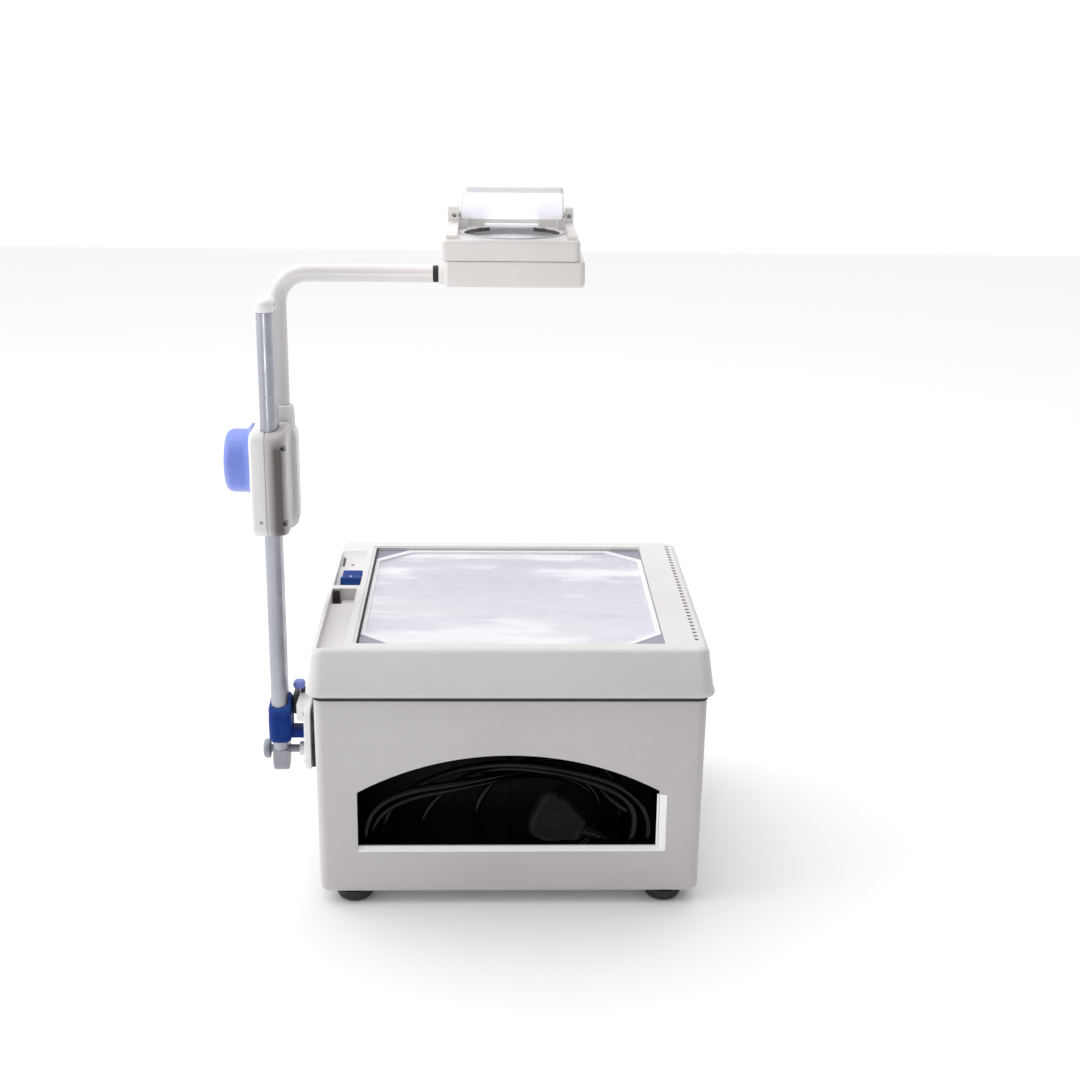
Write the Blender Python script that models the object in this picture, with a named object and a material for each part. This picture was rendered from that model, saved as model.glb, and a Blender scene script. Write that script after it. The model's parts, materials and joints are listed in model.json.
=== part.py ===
"""Overhead projector with a glass stage, a focusing post, an arm and a mirror head.

Metres, +Z up, front towards -Y. The origin is the middle of the floor under the whole object.
place() measures from the body: x from its centre line, y back from its front face, z from the floor.
"""

from math import acos, asin, cos, pi, radians, sin

import bmesh
import bpy
from mathutils import Matrix, Vector

# Where the body stands in the object's frame
BODY_X = 0.0435
FRONT_Y = -0.16875
GAP = 0.0003

# Body
BODY_W = 0.360
BODY_D = 0.330
BODY_BOTTOM = 0.012
BODY_TOP = 0.2132
BODY_CORNER = 0.009
WALL = 0.003
STAGE_Y = 0.163

# Cord compartment, behind an arched mouth in the front. Its floor is lower than the mouth
NICHE_HALF = 0.143
NICHE_BOTTOM = 0.0605
NICHE_SHOULDER = 0.117
NICHE_PEAK = 0.155
NICHE_BACK = 0.078
NICHE_FLOOR = 0.0180
LINER_WALL = 0.002
LINER_LIP = 0.0007

# Cord and plug
CORD_D = 0.0068
GLAND = (0.124, 0.0765, 0.080)
GLAND_LENGTH = 0.025
BUNDLE_Y = (0.0095, 0.0757)
BUNDLE_SIDE = 0.0055
BUNDLE_STEP_Y = 0.048
BUNDLE_STEP_Z = 0.056
BUNDLE_STEP_X = (-0.012, 0.1175)
BUNDLE_COLUMN_BACK = 0.0178
PLUG_CENTRE = (0.045, 0.016, 0.0915)
PLUG_TURN = radians(65)
PLUG_THICK = 0.019

# Lid
LID_BOTTOM = 0.2138
LID_TOP = 0.259
LID_HALF_W = 0.185
LID_HALF_D = 0.1695
LID_MID_Y = 0.165
LID_TAPER = 0.006
LID_CORNER = 0.014
LID_EDGE = 0.006
STAGE_HALF = 0.1425
TRAY_X = (-0.176, -0.153)
TRAY_Y = (0.0075, 0.170)
SWITCH_Y = (0.180, 0.291)
ROCKER_Y = (0.190, 0.232)
ROCKER_X = (-0.172, -0.152)
ROCKER_PIVOT_Z = 0.250
ROCKER_TILT = radians(7)
VENT_COUNT = 32

# Lid hinge
HINGE_Y = 0.3385
HINGE_Z = 0.2145
HINGE_R = 0.0035
HINGE_PIN_R = 0.0015
HINGE_HALF = 0.022
HINGE_X = 0.110

# Post, bracket and lock
POST_X = -0.227
POST_Y = 0.118
POST_HALF_X = 0.0075
POST_HALF_Y = 0.0165
POST_WALL = 0.0015
POST_BOTTOM = 0.1125
POST_TOP = 0.548
PIVOT_Z = 0.108
PIVOT_R = 0.004
FOOT_BOTTOM = 0.086
COLLAR_BOTTOM = 0.117
COLLAR_TOP = 0.163
COLLAR_HALF_X = 0.011
COLLAR_HALF_Y = 0.0195
BRACKET_X = (-0.200, -0.194)
BRACKET_Z = (0.089, 0.162)

# Carriage, focus knob and arm
CARRIAGE_Z = (0.335, 0.437)
CARRIAGE_X = (-0.2445, -0.2103)
CARRIAGE_Y = (0.092, 0.152)
CARRIAGE_CORNER = 0.012
CARRIAGE_EDGE = 0.0045
SEAM_X = -0.2295
KNOB_Z = 0.399
KNOB_Y = 0.1425
ROLLER_R = 0.0075
KNOB_R = 0.0305
KNOB_FLANGE_R = 0.036
KNOB_X = (-0.272, -0.2455)
ARM_X = -0.2215
ARM_R = 0.0085
ARM_BORE = 0.007
ARM_BEND = 0.0285
ARM_FOOT_Z = 0.345
ARM_TOP_Z = 0.576
ARM_END_X = -0.074

# Head and mirror
HEAD_Y = (0.105, 0.216)
LOWER_X = (-0.062, 0.066)
LOWER_Z = (0.572, 0.5957)
UPPER_X = (-0.0655, 0.0615)
UPPER_Z = (0.596, 0.615)
LENS_R = 0.049
CHEEK_X = (0.0505, 0.058)
MIRROR_PIVOT = (0.198, 0.628)
MIRROR_LENGTH = 0.096
MIRROR_TAIL = 0.009
MIRROR_TILT = radians(19.5)
MIRROR_HALF = (0.0495, 0.045)

MATERIALS = {
    "shell": ((0.74, 0.72, 0.70), 0.45, 0.0),
    "blue": ((0.02, 0.08, 0.45), 0.35, 0.0),
    "knob": ((0.20, 0.30, 0.85), 0.40, 0.0),
    "black": ((0.015, 0.015, 0.017), 0.55, 0.0),
    "aluminium": ((0.42, 0.43, 0.46), 0.40, 0.9),
    "steel": ((0.55, 0.55, 0.56), 0.35, 1.0),
    "glass": ((0.86, 0.87, 0.93), 0.08, 0.0),
    "mask": ((0.38, 0.38, 0.46), 0.60, 0.0),
    "mirror": ((0.93, 0.94, 0.97), 0.03, 1.0),
    "ceramic": ((0.85, 0.83, 0.78), 0.60, 0.0),
    "copper": ((0.55, 0.25, 0.10), 0.40, 0.8),
    "liner": ((0.10, 0.09, 0.09), 0.70, 0.0),
}


def place(x, y, z):
    """A point measured from the body's centre line, its front face and the floor."""
    return Vector((x + BODY_X, y + FRONT_Y, z))


def clear_scene():
    for obj in list(bpy.data.objects):
        bpy.data.objects.remove(obj, do_unlink=True)


def material(kind):
    name = f"{kind}_material"
    found = bpy.data.materials.get(name)
    if found:
        return found
    colour, roughness, metallic = MATERIALS[kind]
    made = bpy.data.materials.new(name)
    made.use_nodes = True
    shader = made.node_tree.nodes["Principled BSDF"]
    shader.inputs["Base Color"].default_value = (*colour, 1)
    shader.inputs["Roughness"].default_value = roughness
    shader.inputs["Metallic"].default_value = metallic
    return made


def keep(name, mesh_builder, kind=None):
    """Turns a bmesh into a named object. With no kind it is a hidden cutter."""
    bmesh.ops.recalc_face_normals(mesh_builder, faces=mesh_builder.faces)
    mesh = bpy.data.meshes.new(name)
    mesh_builder.to_mesh(mesh)
    mesh_builder.free()
    obj = bpy.data.objects.new(name, mesh)
    bpy.context.scene.collection.objects.link(obj)
    if kind:
        own = material(kind).copy()
        own.name = f"{name}_{kind}"
        mesh.materials.append(own)
        mesh.shade_smooth()
        mesh.set_sharp_from_angle(angle=radians(35))
    else:
        obj.hide_render = True
        obj.display_type = "WIRE"
    return obj


def combine(obj, others, operation):
    for other in others:
        modifier = obj.modifiers.new(operation.lower(), "BOOLEAN")
        modifier.operation = operation
        modifier.object = other
    return obj


def cut(obj, *cutters):
    return combine(obj, cutters, "DIFFERENCE")


def join(obj, *others):
    return combine(obj, others, "UNION")


def loft(name, rings, kind=None):
    """A closed solid through rings of equally many points, with flat ends."""
    shape = bmesh.new()
    made = [[shape.verts.new(place(*point)) for point in ring] for ring in rings]
    count = len(rings[0])
    for low, high in zip(made, made[1:]):
        for i in range(count):
            j = (i + 1) % count
            shape.faces.new((low[i], low[j], high[j], high[i]))
    shape.faces.new(made[0][::-1])
    shape.faces.new(made[-1])
    return keep(name, shape, kind)


def arc(centre, radius, start, end, steps):
    """Points on a circle in a plane, from one angle to another in degrees."""
    return [
        (
            centre[0] + radius * cos(radians(start + (end - start) * i / steps)),
            centre[1] + radius * sin(radians(start + (end - start) * i / steps)),
        )
        for i in range(steps + 1)
    ]


def rounded(low, high, radius, steps=4):
    """The outline of a rectangle with rounded corners, anticlockwise."""
    (x0, y0), (x1, y1) = low, high
    return (
        arc((x1 - radius, y0 + radius), radius, -90, 0, steps)
        + arc((x1 - radius, y1 - radius), radius, 0, 90, steps)
        + arc((x0 + radius, y1 - radius), radius, 90, 180, steps)
        + arc((x0 + radius, y0 + radius), radius, 180, 270, steps)
    )


AXIS_ORDER = {
    "x": lambda a, b, level: (level, a, b),
    "y": lambda a, b, level: (a, level, b),
    "z": lambda a, b, level: (a, b, level),
}


def prism(name, outline, axis, low, high, kind=None):
    """An outline extruded along an axis: (y, z) along x, (x, z) along y, (x, y) along z."""
    order = AXIS_ORDER[axis]
    return loft(name, [[order(a, b, level) for a, b in outline] for level in (low, high)], kind)


def block(name, low, high, kind=None, edge=0.0, steps=2):
    """A box, with all its edges rounded when an edge radius is given."""
    shape = bmesh.new()
    bmesh.ops.create_cube(shape, size=1)
    size = Vector(high) - Vector(low)
    middle = (Vector(high) + Vector(low)) / 2
    bmesh.ops.scale(shape, vec=size, verts=shape.verts)
    bmesh.ops.translate(shape, vec=place(*middle), verts=shape.verts)
    if edge:
        bmesh.ops.bevel(
            shape, geom=shape.edges[:], offset=edge, segments=steps, profile=0.5, affect="EDGES"
        )
    return keep(name, shape, kind)


def turned(name, profile, centre, axis, kind=None, steps=24):
    """A profile of (radius, height) points spun about an axis through a centre."""
    shape = bmesh.new()
    points = [shape.verts.new((radius, 0, height)) for radius, height in profile]
    edges = [shape.edges.new(pair) for pair in zip(points, points[1:])]
    if profile[0][0] > 0 or profile[-1][0] > 0:
        edges.append(shape.edges.new((points[-1], points[0])))
    bmesh.ops.spin(
        shape, geom=points + edges, cent=(0, 0, 0), axis=(0, 0, 1), angle=2 * pi, steps=steps, use_merge=True
    )
    bmesh.ops.remove_doubles(shape, verts=shape.verts, dist=1e-6)
    turn = Vector((0, 0, 1)).rotation_difference(Vector(axis)).to_matrix().to_4x4()
    bmesh.ops.transform(shape, matrix=Matrix.Translation(place(*centre)) @ turn, verts=shape.verts)
    return keep(name, shape, kind)


def disc(name, radius, low, high, centre, axis, kind=None, steps=24):
    """A plain round bar between two heights along its axis."""
    return turned(name, [(0, low), (radius, low), (radius, high), (0, high)], centre, axis, kind, steps)


def pipe(name, path, outer, inner, kind, sides=14):
    """A hollow tube along a path that lies in a plane of constant y."""
    count = len(path)
    rings = []
    for radius in (outer, inner):
        skin = []
        for i, (x, y, z) in enumerate(path):
            before = Vector(path[max(i - 1, 0)])
            after = Vector(path[min(i + 1, count - 1)])
            along = (after - before).normalized()
            across = Vector((0, 1, 0)).cross(along)
            ring = []
            for k in range(sides):
                turn = 2 * pi * k / sides
                ring.append(Vector((x, y, z)) + radius * (cos(turn) * Vector((0, 1, 0)) + sin(turn) * across))
            skin.append(ring)
        rings.append(skin)
    loop = rings[0] + rings[1][::-1]
    shape = bmesh.new()
    made = [[shape.verts.new(place(*point)) for point in ring] for ring in loop]
    for first, second in zip(made, made[1:] + made[:1]):
        for k in range(sides):
            n = (k + 1) % sides
            shape.faces.new((first[k], first[n], second[n], second[k]))
    return keep(name, shape, kind)


def niche_outline(grow=0.0, bottom=NICHE_BOTTOM):
    """The arch of the cord compartment, grown outwards by a distance."""
    half = NICHE_HALF + grow
    rise = NICHE_PEAK - NICHE_SHOULDER
    radius = (NICHE_HALF**2 + rise**2) / (2 * rise)
    middle = NICHE_PEAK - radius
    radius += grow
    top = 180 / pi * acos(half / radius)
    return [(-half, bottom - grow), (half, bottom - grow)] + arc(
        (0, middle), radius, top, 180 - top, 20
    )


def make_body():
    floor_z = BODY_BOTTOM + 0.0035
    half_w = BODY_W / 2
    edge = 0.005
    rings = []
    for turn in range(0, 91, 30):
        inset = edge * (1 - sin(radians(turn)))
        level = BODY_BOTTOM + edge * (1 - cos(radians(turn)))
        rings.append(
            [
                (x, y, level)
                for x, y in rounded(
                    (-half_w + inset, inset), (half_w - inset, BODY_D - inset), BODY_CORNER - inset / 2
                )
            ]
        )
    rings.append([(x, y, BODY_TOP) for x, y, _ in rings[-1]])
    shell = loft("body_shell", rings, "shell")
    inner = rounded((-half_w + WALL, WALL), (half_w - WALL, BODY_D - WALL), BODY_CORNER - WALL)
    hollow = prism("body_hollow", inner, "z", floor_z, BODY_TOP + 0.01)
    mouth = prism("body_mouth", niche_outline(), "y", -0.01, WALL + 0.002)
    service = prism(
        "body_service_hole", rounded((-0.125, 0.100), (0.125, 0.300), 0.01), "z", BODY_BOTTOM - 0.01, 0.02
    )
    outlet = block("body_outlet", (-0.055, BODY_D - 0.01, 0.070), (0.055, BODY_D + 0.01, 0.170))
    cut(shell, hollow, mouth, service, outlet)
    pan_outline = rounded((-0.132, 0.093), (0.132, 0.307), 0.01)
    pan = prism("base_pan", pan_outline, "z", floor_z + GAP, floor_z + 0.0015, "steel")
    slots = [
        block(f"pan_slot_{i}", (-0.03 + 0.012 * i, 0.262, 0.01), (-0.026 + 0.012 * i, 0.292, 0.03))
        for i in range(6)
    ]
    cut(pan, *slots)
    make_grille()
    make_feet()


def make_grille():
    back = BODY_D - GAP
    grille = block("rear_grille", (-0.0547, back - 0.0045, 0.0703), (0.0547, back, 0.1697), "shell")
    flange = block("grille_flange", (-0.060, back - 0.005, 0.065), (0.060, back - WALL - 0.0001, 0.175))
    join(grille, flange)
    slots = []
    for i in range(8):
        low = 0.077 + 0.011 * i
        slots.append(block(f"grille_slot_{i}", (-0.048, back - 0.01, low), (0.048, back + 0.01, low + 0.005)))
    cut(grille, *slots)


def make_feet():
    height = BODY_BOTTOM - GAP
    profile = [(0, 0), (0.0115, 0), (0.0145, 0.0012), (0.0165, 0.005), (0.0172, height), (0, height)]
    for side, x in (("left", -0.148), ("right", 0.148)):
        for end, y in (("front", 0.026), ("rear", 0.304)):
            turned(f"foot_{end}_{side}", profile, (x, y, 0), (0, 0, 1), "black", 20)


def make_compartment():
    front = WALL + GAP
    outline = niche_outline(LINER_WALL, NICHE_FLOOR)
    liner = prism("cord_compartment", outline, "y", front, NICHE_BACK, "liner")
    room = prism(
        "compartment_room",
        niche_outline(LINER_LIP, NICHE_FLOOR),
        "y",
        front + LINER_WALL,
        NICHE_BACK - LINER_WALL,
    )
    mouth = prism("compartment_mouth", niche_outline(), "y", -0.01, front + 2 * LINER_WALL)
    hole = disc("gland_hole", 0.0065, -0.01, 0.01, (GLAND[0], NICHE_BACK, GLAND[2]), (0, 1, 0), None, 16)
    cut(liner, room, mouth, hole)
    x, y, z = GLAND
    relief = [
        (0, -0.014),
        (0.0058, -0.014),
        (0.0058, 0.0),
        (0.0078, 0.0),
        (0.0078, 0.006),
        (0.0060, 0.008),
        (0.0048, GLAND_LENGTH),
        (0, GLAND_LENGTH),
    ]
    turned("cord_gland", relief, (x, y - LINER_WALL / 2, z), (0, -1, 0), "black", 16)


def smooth_route(points, step):
    """Evenly spaced points on a Catmull-Rom curve through the route's own points."""
    knots = [Vector(p) for p in points]
    knots = [2 * knots[0] - knots[1]] + knots + [2 * knots[-1] - knots[-2]]
    fine = []
    for a, b, c, d in zip(knots, knots[1:], knots[2:], knots[3:]):
        for i in range(40):
            t = i / 40
            bend = (2 * a - 5 * b + 4 * c - d) * t**2
            twist = (3 * b - a - 3 * c + d) * t**3
            fine.append(0.5 * (2 * b + (c - a) * t + bend + twist))
    fine.append(knots[-2])
    total = sum((q - p).length for p, q in zip(fine, fine[1:]))
    count = max(2, round(total / step))
    route = [fine[0]]
    run = 0.0
    for p, q in zip(fine, fine[1:]):
        run += (q - p).length
        if run >= total * len(route) / count and len(route) < count:
            route.append(q)
    return route + [fine[-1]]


def cord(name, points):
    curve = bpy.data.curves.new(name, "CURVE")
    curve.dimensions = "3D"
    curve.bevel_depth = CORD_D / 2
    curve.bevel_resolution = 2
    curve.use_fill_caps = True
    route = smooth_route(points, 2.2 * CORD_D)
    spline = curve.splines.new("POLY")
    spline.points.add(len(route) - 1)
    for point, where in zip(spline.points, route):
        point.co = (*place(*where), 1)
    curve.materials.append(material("black").copy())
    obj = bpy.data.objects.new(name, curve)
    bpy.context.scene.collection.objects.link(obj)


def make_cord():
    tip = GLAND[1] - LINER_WALL / 2 - GLAND_LENGTH - 3 * GAP
    face = BUNDLE_STEP_Y - 3 * GAP
    cord(
        "cord_lead",
        [
            (0.1240, tip, 0.0800),
            (0.1240, 0.0450, 0.0800),
            (0.1210, 0.0310, 0.0823),
            (0.1129, 0.0208, 0.0885),
            (0.1018, 0.0170, 0.0970),
            (0.0906, 0.0208, 0.1055),
            (0.0825, 0.0310, 0.1117),
            (0.0798, 0.0420, 0.1138),
            (0.0795, face, 0.1140),
        ],
    )
    end = plug_point(0, -0.046)
    cord(
        "cord_tail",
        [
            (end[0] + 5 * GAP, PLUG_CENTRE[1], end[1] - 2 * GAP),
            (0.0926, 0.0168, 0.0693),
            (0.0975, 0.0190, 0.0670),
            (0.1017, 0.0226, 0.0651),
            (0.1050, 0.0273, 0.0636),
            (0.1070, 0.0327, 0.0626),
            (0.1077, 0.0385, 0.0623),
            (0.1077, 0.0430, 0.0623),
            (0.1077, face, 0.0623),
        ],
    )
    make_bundle()
    make_plug()


def make_bundle():
    """The wound cord as one solid in the compartment's own shape, stepped back behind the plug."""
    front, back = BUNDLE_Y
    outline = niche_outline(-BUNDLE_SIDE, NICHE_FLOOR + GAP - BUNDLE_SIDE)
    bundle = prism("cord_bundle", outline, "y", front, back, "black")
    low, high = BUNDLE_STEP_X
    room = block("plug_room", (low, -0.01, BUNDLE_STEP_Z), (high, BUNDLE_STEP_Y, 0.2))
    corner = block(
        "gland_room", (high - 0.005, BUNDLE_COLUMN_BACK, BUNDLE_STEP_Z + 0.0001), (0.2, 0.1, 0.2)
    )
    cut(bundle, room, corner)


def plug_point(across, along):
    """A point of the turned plug's plane as (x, z). Its cord leaves at negative along."""
    x, _, z = PLUG_CENTRE
    return (
        x + across * cos(PLUG_TURN) - along * sin(PLUG_TURN),
        z + across * sin(PLUG_TURN) + along * cos(PLUG_TURN),
    )


def make_plug():
    """A moulded three-pin plug with its tapered cord relief."""
    half = [
        (0.0110, -0.0250),
        (0.0175, -0.0120),
        (0.0245, 0.0020),
        (0.0245, 0.0140),
        (0.0200, 0.0210),
        (0.0100, 0.0235),
    ]
    outline = half + [(-a, b) for a, b in half[::-1]]
    y = PLUG_CENTRE[1]
    front = y - PLUG_THICK / 2
    back = y + PLUG_THICK / 2

    def ring(shrink, level):
        return [
            (x, level, z) for x, z in (plug_point(a * (1 - shrink), b * (1 - shrink)) for a, b in outline)
        ]

    levels = (
        (0.14, front),
        (0.04, front + 0.0012),
        (0.0, front + 0.0035),
        (0.0, back - 0.0020),
        (0.05, back),
    )
    plug = loft("mains_plug", [ring(*level) for level in levels], "black")
    start = plug_point(0, -0.020)
    stop = plug_point(0, -0.046)
    along = Vector((stop[0] - start[0], 0, stop[1] - start[1]))
    length = along.length
    relief = turned(
        "plug_relief",
        [(0, 0), (0.0070, 0), (0.0066, 0.008), (0.0044, length), (0, length)],
        (start[0], y, start[1]),
        along,
        None,
        14,
    )
    pins = []
    for across, up, wide, tall in (
        (0, 0.012, 0.004, 0.008),
        (0.011, -0.008, 0.0063, 0.004),
        (-0.011, -0.008, 0.0063, 0.004),
    ):
        corners = [
            plug_point(across + sx * wide / 2, up + sz * tall / 2)
            for sx, sz in ((-1, -1), (1, -1), (1, 1), (-1, 1))
        ]
        pins.append(prism(f"plug_pin_{len(pins)}", corners, "y", back - 0.004, back + 0.017))
    join(plug, relief, *pins)


def make_lamp_group():
    """The lamp, its mirror bowl, socket, housing and condenser under the stage."""
    y = STAGE_Y
    base = BODY_BOTTOM + 0.0035 + 0.0015 + GAP
    block("lamp_tray", (-0.060, y - 0.055, base), (0.060, y + 0.065, base + 0.0015), "steel")
    house = block("lamp_house", (-0.050, y - 0.045, base + 0.0018), (0.050, y + 0.055, 0.112), "steel")
    room = block("house_room", (-0.049, y - 0.044, 0.0), (0.049, y + 0.054, 0.111))
    window = disc("house_window", 0.032, 0.10, 0.13, (0, y, 0), (0, 0, 1), None, 32)
    draught = block("house_draught", (-0.035, y + 0.04, 0.045), (0.035, y + 0.07, 0.100))
    intake = block("house_intake", (-0.035, y - 0.06, 0.030), (0.035, y - 0.03, 0.045))
    cut(house, room, window, draught, intake)
    socket = block(
        "lamp_socket", (-0.016, y - 0.009, base + 0.0018), (0.016, y + 0.009, 0.036), "ceramic", 0.0015, 1
    )
    seat = block("socket_seat", (-0.0065, y - 0.0035, 0.030), (0.0065, y + 0.0035, 0.04))
    cut(socket, seat)
    bulb = [
        (0, 0.0303),
        (0.0030, 0.0303),
        (0.0030, 0.0420),
        (0.0065, 0.0440),
        (0.0065, 0.0700),
        (0.0045, 0.0755),
        (0.0015, 0.0785),
        (0, 0.0785),
    ]
    turned("halogen_lamp", bulb, (0, y, 0), (0, 0, 1), "glass", 16)
    bowl = []
    for i in range(5):
        angle = radians(22 + 50 * i / 4)
        bowl.append((0.036 * sin(angle), 0.076 - 0.036 * cos(angle)))
    inner = [(r * 0.965, z + 0.0012) for r, z in bowl]
    turned("reflector", bowl + inner[::-1], (0, y, 0), (0, 0, 1), "mirror", 20)
    dome = [(0.0345 * sin(radians(a)), 0.1163 + 0.012 * cos(radians(a))) for a in (90, 65, 40, 20, 0)]
    turned("condenser_lens", [(0, 0.1125), (0.0345, 0.1125)] + dome, (0, y, 0), (0, 0, 1), "glass", 28)
    block("thermal_cutout", (0.0505, y - 0.008, 0.070), (0.0565, y + 0.008, 0.082), "black", 0.001, 1)


def make_power_group():
    base = BODY_BOTTOM + 0.0035 + GAP
    core = block("transformer", (-0.172, 0.205, base), (-0.137, 0.295, 0.085), "steel")
    coil = block("transformer_coil", (-0.1755, 0.225, 0.026), (-0.1335, 0.275, 0.075), None, 0.004, 2)
    join(core, coil)
    block("terminal_block", (0.140, 0.230, base), (0.162, 0.290, 0.032), "ceramic", 0.0015, 1)


def make_fan():
    back = 0.3215
    front = back - 0.025
    z = 0.120
    housing = block("fan_housing", (-0.042, front, z - 0.042), (0.042, back, z + 0.042), "black", 0.003, 1)
    tunnel = disc("fan_tunnel", 0.0385, -0.05, 0.05, (0, back, z), (0, 1, 0), None, 32)
    cut(housing, tunnel)
    spider = disc("fan_motor_seat", 0.0135, 0.0, 0.005, (0, front, z), (0, 1, 0), None, 20)
    struts = [
        block("fan_strut_across", (-0.040, front + 0.0005, z - 0.0025), (0.040, front + 0.0030, z + 0.0025)),
        block("fan_strut_up", (-0.0025, front + 0.0005, z - 0.040), (0.0025, front + 0.0030, z + 0.040)),
    ]
    join(housing, *struts, spider)
    rotor = disc("fan_rotor", 0.0140, 0.0, 0.0150, (0, front + 0.0056, z), (0, 1, 0), "black", 20)
    blades = []
    for i in range(5):
        turn = 2 * pi * i / 5
        shape = bmesh.new()
        bmesh.ops.create_cube(shape, size=1)
        bmesh.ops.scale(shape, vec=(0.024, 0.0125, 0.0012), verts=shape.verts)
        bmesh.ops.rotate(shape, matrix=Matrix.Rotation(radians(38), 3, "X"), verts=shape.verts)
        bmesh.ops.translate(shape, vec=(0.0245, 0, 0), verts=shape.verts)
        bmesh.ops.rotate(shape, matrix=Matrix.Rotation(turn, 3, "Y"), verts=shape.verts)
        bmesh.ops.translate(shape, vec=place(0, front + 0.0131, z), verts=shape.verts)
        blades.append(keep(f"fan_blade_{i}", shape))
    join(rotor, *blades)


def make_lid():
    half_w = LID_HALF_W
    half_d = LID_HALF_D

    def ring(inset, level, corner):
        return [
            (x, y + LID_MID_Y, level)
            for x, y in rounded((-half_w + inset, -half_d + inset), (half_w - inset, half_d - inset), corner)
        ]

    rings = [ring(0.0012, LID_BOTTOM, LID_CORNER), ring(0, LID_BOTTOM + 0.0015, LID_CORNER)]
    shoulder = LID_TOP - LID_EDGE
    for turn in range(0, 91, 30):
        inset = LID_TAPER + LID_EDGE * (1 - cos(radians(turn)))
        rings.append(ring(inset, shoulder + LID_EDGE * sin(radians(turn)), LID_CORNER - inset / 3))
    cover = loft("top_cover", rings, "shell")
    chamber = block("lid_chamber", (-0.1495, 0.0045, 0.19), (0.1745, 0.3255, LID_TOP - 0.0035))
    skirt = loft(
        "lid_skirt_room",
        [ring(0.0030, 0.20, 0.011), ring(0.0030, LID_BOTTOM + 0.0005, 0.011), ring(0.0070, 0.240, 0.011)],
    )
    window = block(
        "stage_window",
        (-STAGE_HALF, STAGE_Y - STAGE_HALF, 0.2),
        (STAGE_HALF, STAGE_Y + STAGE_HALF, 0.3),
    )
    x0, x1 = TRAY_X
    tray = block("pen_tray", (x0, TRAY_Y[0], LID_TOP - 0.010), (x1, TRAY_Y[1] - 0.014, 0.3))
    notch = block("tray_notch", (x0, TRAY_Y[1] - 0.018, LID_TOP - 0.015), (x1, TRAY_Y[1], 0.3))
    recess = block("switch_recess", (x0, SWITCH_Y[0], LID_TOP - 0.006), (x1 + 0.002, SWITCH_Y[1], 0.3))
    hole = block(
        "rocker_hole",
        (ROCKER_X[0] - 0.0008, ROCKER_Y[0] - 0.001, 0.2),
        (ROCKER_X[1] + 0.0008, ROCKER_Y[1] + 0.001, 0.3),
    )
    step = (0.316 - 0.028) / VENT_COUNT
    vents = [
        block(
            f"vent_{i}",
            (0.1705, 0.028 + step * i, LID_TOP - 0.012),
            (0.1745, 0.0325 + step * i, 0.3),
        )
        for i in range(VENT_COUNT)
    ]
    cut(cover, chamber, skirt, window, tray, notch, recess, hole, *vents)
    make_stage()
    make_switch()


def make_stage():
    low = (-STAGE_HALF, STAGE_Y - STAGE_HALF)
    high = (STAGE_HALF, STAGE_Y + STAGE_HALF)
    under = LID_TOP - 0.0035 - GAP
    mask = block(
        "stage_mask",
        (low[0] - 0.006, low[1] - 0.006, under - 0.0016),
        (high[0] + 0.006, high[1] + 0.006, under),
        "mask",
    )
    side = STAGE_HALF - 0.007
    cut_x, cut_y = 0.031, 0.028
    octagon = [
        (side - cut_x, -side),
        (side, -side + cut_y),
        (side, side - cut_y),
        (side - cut_x, side),
        (-side + cut_x, side),
        (-side, side - cut_y),
        (-side, -side + cut_y),
        (-side + cut_x, -side),
    ]
    opening = prism("mask_opening", [(x, y + STAGE_Y) for x, y in octagon], "z", 0.2, 0.3)
    cut(mask, opening)
    block(
        "stage_glass",
        (low[0] + GAP, low[1] + GAP, under + GAP),
        (high[0] - GAP, high[1] - GAP, LID_TOP - 0.0008),
        "glass",
    )
    block(
        "fresnel_lens",
        (low[0] - 0.004, low[1] - 0.004, under - 0.0016 - GAP - 0.003),
        (high[0] + 0.004, high[1] + 0.004, under - 0.0016 - GAP),
        "glass",
    )


def make_switch():
    x0, x1 = ROCKER_X
    y0, y1 = ROCKER_Y
    middle = (y0 + y1) / 2
    profile = [
        (y0 + 0.004, -0.007),
        (y1 - 0.004, -0.007),
        (y1 - 0.0005, 0.0065),
        (y1 - 0.004, 0.0105),
        (middle, 0.0075),
        (y0 + 0.004, 0.0105),
        (y0 + 0.0005, 0.0065),
    ]
    turned_profile = [
        (
            middle + (y - middle) * cos(ROCKER_TILT) + z * sin(ROCKER_TILT),
            ROCKER_PIVOT_Z + z * cos(ROCKER_TILT) - (y - middle) * sin(ROCKER_TILT),
        )
        for y, z in profile
    ]
    rocker = prism("rocker_switch", turned_profile, "x", x0, x1, "blue")
    edge = rocker.modifiers.new("edge", "BEVEL")
    edge.width = 0.0012
    edge.segments = 2
    housing = block(
        "switch_housing", (x0 - 0.002, y0 - 0.004, 0.222), (x1 - 0.0005, y1 + 0.004, 0.2397), "black"
    )
    well = block("switch_well", (x0 - 0.0005, y0 - 0.0005, 0.2245), (x1 - 0.002, y1 + 0.0005, 0.25))
    cut(housing, well)


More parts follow.
